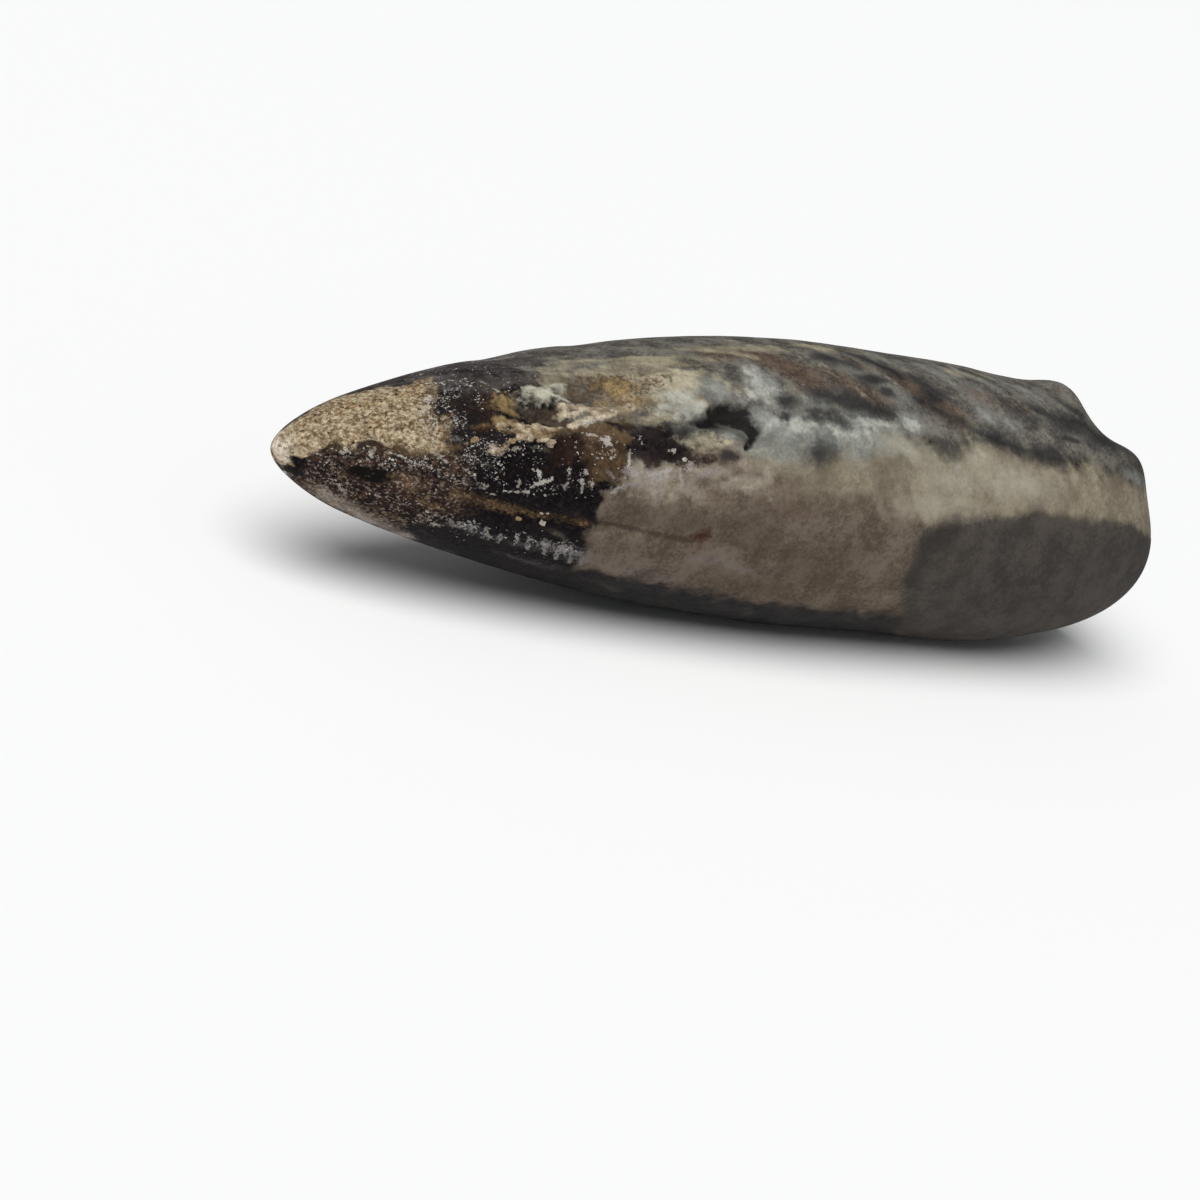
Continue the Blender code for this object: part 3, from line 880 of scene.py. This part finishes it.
# Settings that many nodes share. With SMOOTH a Map Range takes inputs 1 to 2 softly to 0 to 1,
# or to 0 to input 4. With RGBA a Mix lays colour 7 over colour 6 by its share, input 0.
SMOOTH = {"interpolation_type": "SMOOTHSTEP"}
RGBA = {"data_type": "RGBA"}
PRODUCT = {"operation": "MULTIPLY"}
PRODUCT_PLUS = {"operation": "MULTIPLY_ADD"}
GREATEST = {"operation": "MAXIMUM"}
print("calcite, linear:", np.round(colour("#0b090b"), 4))

# %% [markdown]
# ### Noise for tones and edges
#
# Noise of five sizes gives all tones and ragged edges. Each noise has three channels that look
# unlike, so neighbours in the stack can take different ones. Rags are the noise that moves a
# layer's edge: coarse noise of the named size, less its mean, with fine noise on top.

# %% Noise and rags
calcite, node = empty_material("weathered_calcite")
place = node("TexCoord")["Object"]
amount = {name: node("Attribute", attribute_name=name)["Fac"] for name in fields}
noise = {}
# Size in mm, detail and roughness.
for size, detail, roughness in ((0.3, 3, 0.7), (0.7, 4, 0.6), (1.5, 4, 0.6), (3.2, 4, 0.6), (2.4, 6, 0.7)):
    cloudy = node("TexNoise", {
        "Vector": place, "Scale": 1 / (size * MM), "Detail": detail, "Roughness": roughness,
    })
    noise[size] = node("SeparateColor", {0: cloudy["Color"]})
fine, tones = noise[0.3], noise[2.4]
rags = {0.2: [node("Math", {0: fine[i], 1: 3.2, 2: -1.6}, **PRODUCT_PLUS)[0] for i in range(3)]}
for size, source in ((0.4, 0.7), (0.8, 1.5), (1.6, 3.2)):
    rags[size] = []
    for i in range(3):
        coarse = node("Math", {0: noise[source][i], 1: 2.6, 2: -1.8}, **PRODUCT_PLUS)
        rags[size].append(node("Math", {0: fine[i], 1: coarse[0]}, operation="ADD")[0])
print("rags of", list(rags), "mm")

# %% [markdown]
# ### The stack of crusts and stains
#
# The dark calcite has a faint mottle of its own. Every layer of the table then covers it where
# its field is high. A layer has a light and a deep tone, blended by noise, as a real crust is
# thick in one place and thin in the next. The field itself limits the layer, so that its rags
# never show far away from it.

# %% Layers
# A layer: field, two tones, softness of its edge, raggedness, size of the rags in mm,
# roughness, and how much of what is below it hides. The painted shade of the low places in the
# hollow lies both under and over the crusts.
LAYERS = (
    ("mauve", "#534d49", "#231f20", 0.30, 0.70, 0.8, 0.60, 0.95),
    ("grey", "#757168", "#46433f", 0.34, 0.60, 1.6, 0.66, 0.95),
    # The underside's dark tone, partly painted shade.
    ("underside_tone_and_shade", "#353332", "#252424", 0.35, 0.60, 1.6, 0.60, 0.92),
    ("taupe", "#72665a", "#54493e", 0.24, 0.50, 0.8, 0.78, 1.00),
    ("dusk", "#55483c", "#443930", 0.45, 0.50, 1.6, 0.75, 0.48),
    ("film", "#a29989", "#83796c", 0.40, 0.70, 0.8, 0.80, 0.95),
    # Painted shade: a dark line along the crease.
    ("crease_shade", "#2c2520", "#3a3029", 0.34, 0.70, 0.4, 0.75, 0.55),
    ("cream", "#8f8673", "#736a5b", 0.35, 0.45, 1.6, 0.78, 0.95),
    ("glow", "#aaa493", "#979080", 0.45, 0.40, 1.6, 0.78, 0.72),
    ("slate", "#504a45", "#3e3a36", 0.26, 0.34, 1.6, 0.66, 0.97),
    ("brink", "#2b2827", "#33302d", 0.45, 0.40, 0.8, 0.66, 0.62),
    ("lost", "#4a4a4b", "#2d2d30", 0.30, 0.60, 0.8, 0.70, 0.90),
    ("cloud", "#969890", "#6f716b", 0.42, 0.36, 1.6, 0.75, 0.85),
    ("brown", "#5f4c3e", "#41332a", 0.42, 0.42, 1.6, 0.62, 0.78),
    ("straw", "#a39a80", "#777060", 0.40, 0.60, 0.8, 0.78, 0.78),
    # Painted shade in the low places of the hollow, under the crusts.
    ("nook_shade", "#54442f", "#352a20", 0.30, 0.60, 0.4, 0.75, 0.75),
    ("pale", "#bab096", "#8a826c", 0.36, 0.60, 0.4, 0.80, 0.82),
    ("wisp", "#bdbdb3", "#9b9b91", 0.36, 0.70, 0.4, 0.80, 0.72),
    # Dark stains, with a painted shadow in the notch near the broken rear.
    ("dark_stain_and_shadow", "#212123", "#343333", 0.36, 0.45, 1.6, 0.50, 0.90),
    ("recess", "#867b67", "#5e5447", 0.28, 0.55, 0.4, 0.70, 0.80),
    # Red-brown tone of the band, partly a painted sheen.
    ("redbrown_and_sheen", "#33241c", "#1a110f", 0.36, 0.70, 0.4, 0.40, 0.88),
    ("amber", "#66523a", "#3a2d21", 0.40, 0.90, 0.4, 0.34, 0.90),
    ("purple", "#181212", "#2a2120", 0.22, 0.55, 0.4, 0.42, 0.93),
    ("sandy", "#2a211e", "#171313", 0.26, 0.60, 0.4, 0.72, 0.95),
    ("lens", "#0e0c0b", "#1a1512", 0.22, 0.40, 0.4, 0.45, 0.97),
    ("hem", "#b3a79a", "#675d54", 0.34, 0.90, 0.2, 0.80, 0.88),
    ("umber", "#66533d", "#2f251d", 0.34, 0.90, 0.4, 0.80, 0.85),
    ("haze", "#857f82", "#484447", 0.30, 0.80, 0.2, 0.80, 0.32),
    ("frost", "#aca6a3", "#6e6765", 0.24, 1.50, 0.2, 0.82, 0.66),
    # The pocket's dark tone, partly painted shade in the nook.
    ("pocket_tone_and_shade", "#28221f", "#4c4239", 0.24, 0.55, 0.4, 0.50, 0.92),
    ("tan", "#a08e71", "#78644a", 0.24, 0.65, 0.4, 0.82, 1.00),
    ("cap", "#e8dccb", "#c2b29b", 0.30, 0.60, 0.4, 0.80, 0.92),
    ("ochre", "#6f5a42", "#3d3027", 0.42, 1.20, 0.2, 0.80, 0.72),
    ("crust", "#a08c6c", "#65523c", 0.30, 0.75, 0.4, 0.82, 0.90),
    # Painted shade in the pit, near-black.
    ("pit_shade", "#151213", "#201c1d", 0.24, 0.30, 0.4, 0.55, 0.98),
    ("rust", "#41231a", "#2d1913", 0.36, 0.40, 0.4, 0.60, 0.90),
    ("crumb", "#d6c9b0", "#94836a", 0.30, 0.80, 0.4, 0.85, 0.92),
    # The same painted shade again, over the crusts.
    ("nook_shade", "#5f4e38", "#35291e", 0.28, 0.85, 0.4, 0.80, 0.50),
    ("mint", "#cac6b4", "#a5a18e", 0.45, 0.80, 0.4, 0.80, 0.90),
    ("honey", "#a08a5e", "#6c583a", 0.40, 1.00, 0.4, 0.70, 0.74),
    ("chalk", "#bfbab3", "#857d74", 0.22, 1.50, 0.2, 0.85, 0.78),
)
stained = node("MapRange", {0: tones[0], 1: 0.35, 2: 0.65}, **SMOOTH)[0]
shade = node("Mix", {0: stained, 6: "#0b090b", 7: "#171213"}, **RGBA)[2]
dusty = node("MapRange", {0: fine[1], 1: 0.50, 2: 0.64, 4: 0.50}, **SMOOTH)[0]
shade = node("Mix", {0: dusty, 6: shade, 7: "#2d282a"}, **RGBA)[2]
rough = 0.38
for i, (name, light, deep, soft, ragged, size, dull, strength) in enumerate(LAYERS):
    moved = node("Math", {0: rags[size][i % 3], 1: ragged, 2: amount[name]}, **PRODUCT_PLUS)[0]
    near = node("MapRange", {0: amount[name], 1: 0.02, 2: 0.16, 4: strength}, **SMOOTH)[0]
    share = node("MapRange", {0: moved, 1: 0.5 - soft, 2: 0.5 + soft}, **SMOOTH)[0]
    share = node("Math", {0: share, 1: near}, **PRODUCT)[0]
    grain = node("Math", {0: fine[i % 3], 1: 0.35}, **PRODUCT)[0]
    mottle = node("Math", {0: tones[(i + 1) % 3], 1: 0.65, 2: grain}, **PRODUCT_PLUS)[0]
    mottle = node("MapRange", {0: mottle, 1: 0.40, 2: 0.60}, **SMOOTH)[0]
    tone = node("Mix", {0: mottle, 6: light, 7: deep}, **RGBA)[2]
    shade = node("Mix", {0: share, 6: shade, 7: tone}, **RGBA)[2]
    rough = node("Mix", {0: share, 2: rough, 3: dull})[0]
print(len(LAYERS), "layers")

# %% [markdown]
# ### Grains at the tip
#
# The tip is packed sand grains of about 0.2 mm, set in blotches of 0.7 mm, and the low side of
# the tip is finer silt. Each cell of a Voronoi pattern is a grain with its own tone, and far
# from any centre are the dark gaps between grains. The pattern is bent by noise and drawn out
# along the guard, so the cells don't look like cells. A few pores of 0.2 mm are the dark dots.

# %% Sand, silt and pores
in_tan = node("MapRange", {0: amount["tan"], 1: 0.30, 2: 0.60}, **SMOOTH)[0]
in_sandy = node("MapRange", {0: amount["sandy"], 1: 0.35, 2: 0.75}, **SMOOTH)[0]
granular = node("Math", {0: in_tan, 1: in_sandy}, **GREATEST)[0]
sway = node("TexNoise", {"Vector": place, "Scale": 1 / (0.12 * MM), "Detail": 2})["Color"]
sway = node("VectorMath", {0: sway, "Scale": 0.24 * MM}, operation="SCALE")[0]
bent = node("VectorMath", {0: place, 1: sway}, operation="ADD")[0]
bed = node("Mapping", {0: bent, "Scale": (1.7, 1, 1)}, vector_type="TEXTURE")[0]
sand = node("TexVoronoi", {"Vector": bed, "Scale": 1 / (0.17 * MM)})
silt = node("TexVoronoi", {"Vector": bed, "Scale": 1 / (0.12 * MM)})
pore = node("TexVoronoi", {"Vector": bent, "Scale": 1 / (0.80 * MM)})
grains, specks = (node("SeparateColor", {0: cells["Color"]}) for cells in (sand, silt))
# Pattern, the two values that its share rises between, its greatest share, place and tint.
for pattern, start, end, most, where, tint in (
    (noise[1.5][2], 0.48, 0.62, 0.60, in_tan, "#8f6a40"),
    (noise[0.7][1], 0.50, 0.60, 0.62, in_tan, "#6b5538"),
    (noise[0.7][0], 0.50, 0.60, 0.55, in_tan, "#bfaf90"),
    (grains[0], 0.45, 0.95, 0.50, in_tan, "#d8cbaf"),
    (grains[1], 0.50, 0.95, 0.68, in_tan, "#4c3925"),
    (fine[0], 0.50, 0.62, 0.55, in_tan, "#5b4832"),
    (fine[1], 0.50, 0.62, 0.50, in_tan, "#d2c4a6"),
    (noise[0.7][2], 0.52, 0.64, 0.45, in_sandy, "#553d2b"),
    (specks[0], 0.72, 1.00, 0.58, in_sandy, "#a89a8d"),
    (specks[1], 0.66, 1.00, 0.38, in_sandy, "#654e41"),
    (fine[2], 0.50, 0.62, 0.60, amount["ochre"], "#2a2019"),
    (specks[2], 0.70, 1.00, 0.50, amount["ochre"], "#a5855c"),
    (sand["Distance"], 0.55, 0.90, 0.45, granular, "#2b2019"),
    (pore["Distance"], 0.20, 0.10, 0.85, in_tan, "#241b14"),
    (fine[2], 0.36, 0.60, 0.70, amount["cap"], "#e6dac8"),
):
    share = node("MapRange", {0: pattern, 1: start, 2: end, 4: most}, **SMOOTH)[0]
    share = node("Math", {0: share, 1: where}, **PRODUCT)[0]
    shade = node("Mix", {0: share, 6: shade, 7: tint}, **RGBA)[2]
print("grains in", len(calcite.node_tree.nodes), "nodes so far")

# %% [markdown]
# ### Flecks of lime
#
# Flecks are short white flakes that cling to the black. Painted dots would all be alike, and
# thousands of small meshes would be heavy. So they are stretched dots in the cells of three
# turned Voronoi patterns. A cell holds one where its random number is under the local crowding.

# %% Flecks
crowd = node("MapRange", {0: noise[1.5][1], 1: 0.42, 2: 0.60}, **SMOOTH)[0]
crowd = node("Math", {0: amount["fleck"], 1: crowd}, **PRODUCT)[0]
chalky = node("MapRange", {0: amount["chalk"], 1: 0.25, 2: 0.80, 4: 0.45}, **SMOOTH)[0]
crowd = node("Math", {0: chalky, 1: crowd}, **GREATEST)[0]
flecks = 0.0
for size, turn in ((0.12, 0.75), (0.12, -0.55), (0.19, 0.25)):  # mm and radians
    turned = node("Mapping", {0: bent, "Rotation": (0, turn, 0), "Scale": (2.2, 1, 1)},
                  vector_type="TEXTURE")[0]
    cells = node("TexVoronoi", {"Vector": turned, "Scale": 1 / (size * MM)})
    lot = node("SeparateColor", {0: cells["Color"]})
    spare = node("Math", {0: lot[0], 1: -1.3, 2: crowd}, **PRODUCT_PLUS)[0]
    taken = node("MapRange", {0: spare, 1: 0.0, 2: 0.05}, **SMOOTH)[0]
    reach = node("Math", {0: lot[1], 1: 0.34, 2: 0.14}, **PRODUCT_PLUS)[0]
    inside = node("Math", {0: reach, 1: cells["Distance"]}, operation="SUBTRACT")[0]
    flake = node("MapRange", {0: inside, 1: -0.05, 2: 0.10}, **SMOOTH)[0]
    bright = node("Math", {0: lot[2], 1: 0.75, 2: 0.15}, **PRODUCT_PLUS)[0]
    flake = node("Math", {0: taken, 1: flake}, **PRODUCT)[0]
    flake = node("Math", {0: flake, 1: bright}, **PRODUCT)[0]
    flecks = node("Math", {0: flecks, 1: flake}, **GREATEST)[0]
shade = node("Mix", {0: flecks, 6: shade, 7: "#cfcac2"}, **RGBA)[2]
rough = node("Mix", {0: flecks, 2: rough, 3: 0.75})[0]
print("flecks in", len(calcite.node_tree.nodes), "nodes so far")

# %% [markdown]
# ### The broken end
#
# The break shows how the guard grew: rings about 0.75 mm apart round the axis, crossed by
# needles of calcite that run out from the middle. The rings are a sine of the distance to the
# axis, and the needles are noise on the direction from the middle alone.

# %% Growth rings and needles
at_end = node("MapRange", {0: amount["end_face"], 1: 0.3, 2: 0.7}, **SMOOTH)[0]
turns = node("Math", {0: amount["growth"], 1: 2 * np.pi / GROWTH_STEP}, **PRODUCT)[0]
waver = node("Math", {0: noise[1.5][0], 1: 5.0}, **PRODUCT)[0]
ring = node("Math", {0: turns, 1: waver}, operation="ADD")[0]
ring = node("Math", {0: ring}, operation="SINE")[0]
spoke = node("VectorMath", {0: place, 1: tuple(end_middle * MM)}, operation="SUBTRACT")[0]
spoke = node("VectorMath", {0: spoke}, operation="NORMALIZE")[0]
needles = node("TexNoise", {"Vector": spoke, "Scale": 14.0, "Detail": 4, "Roughness": 0.7})["Fac"]
face = "#5a534b"
for pattern, start, end, most, tint in (
    (ring, -0.6, 0.9, 0.28, "#413b36"),
    (needles, 0.45, 0.65, 0.35, "#6f665b"),
    (tones[1], 0.48, 0.60, 0.70, "#2e2a28"),
):
    share = node("MapRange", {0: pattern, 1: start, 2: end, 4: most}, **SMOOTH)[0]
    face = node("Mix", {0: share, 6: face, 7: tint}, **RGBA)[2]
shade = node("Mix", {0: at_end, 6: shade, 7: face}, **RGBA)[2]
rough = node("Mix", {0: at_end, 2: rough, 3: 0.55})[0]

# %% Relief too fine for the mesh, and the gloss
height = node("Math", {0: sand["Distance"], 1: granular}, **PRODUCT)[0]
height = node("Math", {0: height, 1: -0.7, 2: fine[0]}, **PRODUCT_PLUS)[0]
height = node("Math", {0: flecks, 1: 0.6, 2: height}, **PRODUCT_PLUS)[0]
raised = node("MapRange", {0: needles, 1: 0.4, 2: 0.6, 4: 0.6}, **SMOOTH)[0]
height = node("Math", {0: raised, 1: at_end, 2: height}, **PRODUCT_PLUS)[0]
bump = node("Bump", {"Height": height, "Strength": 0.7, "Distance": 0.12 * MM})
shader = node("BsdfPrincipled", {
    "Base Color": shade, "Roughness": rough, "IOR": 1.6, "Specular IOR Level": 0.03,
    "Normal": bump[0],
})
node("OutputMaterial", {"Surface": shader[0]})
skin_mesh.materials.append(calcite)
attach(skin, "root")
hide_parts("rostrum")
print("material nodes:", len(calcite.node_tree.nodes))

# %% [markdown]
# ## Crumbs of lime
#
# A few grains of lime and clay still cling to the stone. They are real lumps that stand up and
# cast small shadows, which a flat colour can't do. Each is a coarse ball with its corners moved
# at random, sunk to about its middle. All are one mesh, with 54 faces to a crumb.

# %% Where the crumbs are
# s, phi, width in mm, warmth: 0 is white lime, 1 is tan clay.
CRUMBS = (
    (18.1, 143.8, 0.78, 0.7), (15.2, 143.2, 0.55, 0.9), (15.5, 142.6, 0.35, 0.9),
    (14.1, 149.2, 0.45, 0.8), (14.5, 147.8, 0.40, 0.7), (14.8, 146.2, 0.30, 0.8),
    (18.95, 188.2, 0.58, 0.1), (17.1, 187.6, 0.50, 1.0), (18.8, 182.6, 0.30, 0.3),
    (19.2, 182.4, 0.26, 0.2), (12.8, 142.3, 0.66, 1.0), (14.55, 135.5, 0.55, 1.0),
    (1.3, 240, 0.34, 0.0), (1.6, 246, 0.22, 0.0), (16.2, 140.6, 0.42, 0.8),
    (17.3, 142.2, 0.36, 0.8), (28.7, 148.6, 0.42, 0.1), (27.3, 145.0, 0.24, 0.2),
    (12.9, 164.5, 0.30, 0.1), (5.6, 156.0, 0.36, 0.2), (4.0, 151.0, 0.40, 0.2),
    (16.6, 134.0, 0.45, 0.9), (15.6, 133.0, 0.40, 0.9), (19.2, 134.6, 0.40, 0.6),
    (20.6, 133.0, 0.50, 0.4), (21.6, 131.2, 0.45, 0.3), (23.0, 126.2, 0.45, 0.5),
    (24.4, 123.4, 0.40, 0.5), (21.3, 148.2, 0.20, 0.6),
)
# Places where smaller ones are scattered: s, phi and how far they spread in mm and degrees.
SCATTER = (
    (16.6, 136.5, 2.0, 3.5), (21.5, 130, 2.0, 2.5), (12, 160, 1.6, 8), (14.5, 147, 1.0, 3),
    (11, 120, 0.8, 8), (13.5, 205, 1.5, 6), (19.5, 201, 1.5, 5), (24, 150, 1.2, 6),
)
EACH = 9
small = np.random.default_rng(8)
marks = np.concatenate([CRUMBS] + [
    np.stack([small.normal(s, ds, EACH), small.normal(phi, dphi, EACH),
              0.07 + 0.10 * small.random(EACH) ** 2, small.uniform(0.3, 1.0, EACH)], axis=-1)
    for s, phi, ds, dphi in SCATTER
])
print(len(marks), "crumbs, widths from", marks[:, 2].min().round(2), "to", marks[:, 2].max(), "mm")

# %% Crumbs as one mesh
FACES_ROUND, FACES_UP = 9, 5
POLE_REACH = 0.72  # the rings of a ball stop at this share of the way to its poles
BREADTH, FLATNESS, LIFT = 0.8, 0.6, 0.04  # in half widths of the crumb


def crumb_mesh(name, marks):
    """Balls at the marks: ring angles times height angles, each corner pushed by a random share."""
    pick = np.random.default_rng(5)
    ring = np.argmin(np.abs(ring_s[None, :SIDE_RINGS] - marks[:, :1]), axis=1)
    column = np.argmin(np.abs(turn_from(marks[:, 1:2], columns[None])), axis=1)
    place = POINTS[ring, column]
    along = POINTS[ring + 1, column] - POINTS[ring - 1, column]
    across = POINTS[ring, (column + 1) % COLUMNS] - POINTS[ring, column - 1]
    out = np.cross(across, along)
    along, out = (v / np.linalg.norm(v, axis=1, keepdims=True) for v in (along, out))
    across = np.cross(out, along)
    turn = np.linspace(0, 2 * np.pi, FACES_ROUND, endpoint=False)[None, None]
    lift = np.linspace(-0.5, 0.5, FACES_UP)[None, :, None] * np.pi * POLE_REACH
    size = marks[:, 2, None, None] / 2
    push = pick.uniform(0.55, 1.30, (len(marks), FACES_UP, FACES_ROUND))
    twist = pick.uniform(0, np.pi, (len(marks), 1, 1))
    u = size * push * np.cos(lift) * np.cos(turn + twist)
    v = size * push * np.cos(lift) * np.sin(turn + twist) * BREADTH
    w = size * push * np.sin(lift) * FLATNESS + size * LIFT
    body = place[:, None, None] + sum(
        part[..., None] * axis[:, None, None] for part, axis in ((u, along), (v, across), (w, out))
    )
    poles = np.stack([body[:, 0].mean(1), body[:, -1].mean(1)], axis=1)
    verts = np.concatenate([body.reshape(len(marks), -1, 3), poles], axis=1)
    index = np.arange(FACES_UP * FACES_ROUND).reshape(FACES_UP, FACES_ROUND)
    beside = np.roll(index, -1, axis=1)
    low_pole, high_pole = index.size, index.size + 1
    quads = np.stack([index[:-1], beside[:-1], beside[1:], index[1:]], axis=-1).reshape(-1, 4)
    fan = np.concatenate([
        np.stack([np.full(FACES_ROUND, low_pole), beside[0], index[0]], axis=-1),
        np.stack([np.full(FACES_ROUND, high_pole), index[-1], beside[-1]], axis=-1),
    ])
    shift = (np.arange(len(marks)) * verts.shape[1])[:, None, None]
    faces = [*(quads[None] + shift).reshape(-1, 4).tolist(), *(fan[None] + shift).reshape(-1, 3).tolist()]
    mesh = bpy.data.meshes.new(name)
    mesh.from_pydata((verts.reshape(-1, 3) * MM).tolist(), [], faces)
    warmth = mesh.attributes.new("warmth", "FLOAT", "POINT")
    warmth.data.foreach_set("value", np.repeat(marks[:, 3], verts.shape[1]).astype(np.float32))
    return mesh


crumbs_mesh = crumb_mesh("lime_crumbs", marks)
crumbs = show("lime_crumbs", crumbs_mesh)
print("crumbs:", len(crumbs_mesh.polygons), "faces,", round(volume(crumbs_mesh), 2), "mm3")

# %% Clinging lime: matt, from white to tan by the crumb's warmth, with a fine mottle of dirt
lime, node = empty_material("clinging_lime")
mottle = node("TexNoise", {"Vector": node("TexCoord")["Object"], "Scale": 1 / (0.15 * MM)})
warmth = node("Attribute", attribute_name="warmth")["Fac"]
tone = node("Mix", {0: warmth, 6: "#bdb7ad", 7: "#927b5d"}, **RGBA)[2]
dirt = node("MapRange", {0: mottle[0], 1: 0.45, 2: 0.62, 4: 0.7})[0]
shade = node("Mix", {0: dirt, 6: tone, 7: "#76644b"}, **RGBA)[2]
shader = node("BsdfPrincipled", {
    "Base Color": shade, "Roughness": 0.85, "IOR": 1.5, "Specular IOR Level": 0.2,
})
node("OutputMaterial", {"Surface": shader[0]})
crumbs_mesh.materials.append(lime)
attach(crumbs, "root")

# %% [markdown]
# ## Floor, light and camera
#
# A pale floor, one very broad sun and a dim white room keep shadows faint, so that the darks on
# the stone are seen, its own tones and its painted shade alike. The camera looks along the guard
# from in front of the tip, and it is rolled, so the guard lies nearly level in the picture.

# %% Floor
FLOOR_REACH = 3.0  # metres
corners = np.array([(-1, -1, 0), (1, -1, 0), (1, 1, 0), (-1, 1, 0)]) * FLOOR_REACH
floor_mesh = bpy.data.meshes.new("floor")
floor_mesh.from_pydata(corners.tolist(), [], [(0, 1, 2, 3)])
floor = show("floor", floor_mesh)
paper, node = empty_material("matt_white_paper")
shader = node("BsdfPrincipled", {
    "Base Color": "#f6f6f5", "Roughness": 0.95, "Specular IOR Level": 0.1,
})
node("OutputMaterial", {"Surface": shader[0]})
floor_mesh.materials.append(paper)

# %% Light
world = bpy.data.worlds.new("soft_room")
world.use_nodes = True
room = world.node_tree.nodes["Background"].inputs
room["Color"].default_value, room["Strength"].default_value = colour("#f2f5fa"), 0.22
bpy.context.scene.world = world
# The sun's spread, in degrees, softens the shadows.
SUN_FROM, SUN_SPREAD, SUN_POWER = (-0.35, -0.30, 0.90), 55, 3.0
sun = bpy.data.lights.new("key", "SUN")
sun.angle, sun.energy = np.radians(SUN_SPREAD), SUN_POWER
show("key", sun).rotation_euler = Vector(SUN_FROM).to_track_quat("Z", "Y").to_euler()
bpy.context.scene.view_settings.view_transform = "Standard"

# %% Camera
CAMERA_AZIMUTH, CAMERA_ELEVATION, CAMERA_DISTANCE = -40.0, 20.0, 205.0
CAMERA_ROLL = 21.521
CAMERA_AIM_RIGHT, CAMERA_AIM_UP = -7.842, -11.787
CAMERA_LENS, SENSOR_WIDTH = 77.68, 36.0
AXIS_POINT = tip + (42.0, 0, 0)


def beside_and_up(ahead):
    """The level axis to the right of a direction, and the axis that stands up from both."""
    right = np.cross(ahead, (0, 0, 1))
    right /= np.linalg.norm(right)
    return right, np.cross(right, ahead)


def camera_axes():
    """Place and right, up and back axes of the camera, from its angles, aim and roll."""
    az, el = np.radians(CAMERA_AZIMUTH), np.radians(CAMERA_ELEVATION)
    away = np.array([np.sin(az) * np.cos(el), -np.cos(az) * np.cos(el), np.sin(el)])
    right, up = beside_and_up(-away)
    place = AXIS_POINT + away * CAMERA_DISTANCE
    aim = AXIS_POINT + right * CAMERA_AIM_RIGHT + up * CAMERA_AIM_UP
    ahead = (aim - place) / np.linalg.norm(aim - place)
    right, up = beside_and_up(ahead)
    roll = np.radians(CAMERA_ROLL)
    turned_right = np.cos(roll) * right + np.sin(roll) * up
    turned_up = -np.sin(roll) * right + np.cos(roll) * up
    return place, turned_right, turned_up, -ahead


camera_place, right, up, backwards = camera_axes()
camera_data = bpy.data.cameras.new("camera")
camera_data.lens, camera_data.sensor_width = CAMERA_LENS, SENSOR_WIDTH
camera_data.clip_start, camera_data.clip_end = 0.01, 20.0
camera = show("camera", camera_data)
matrix = np.eye(4)
matrix[:3] = np.stack([right, up, backwards, camera_place * MM], axis=-1)
camera.matrix_world = Matrix(matrix.tolist())
bpy.context.scene.camera = camera
print("camera at, mm:", camera_place.round(1))
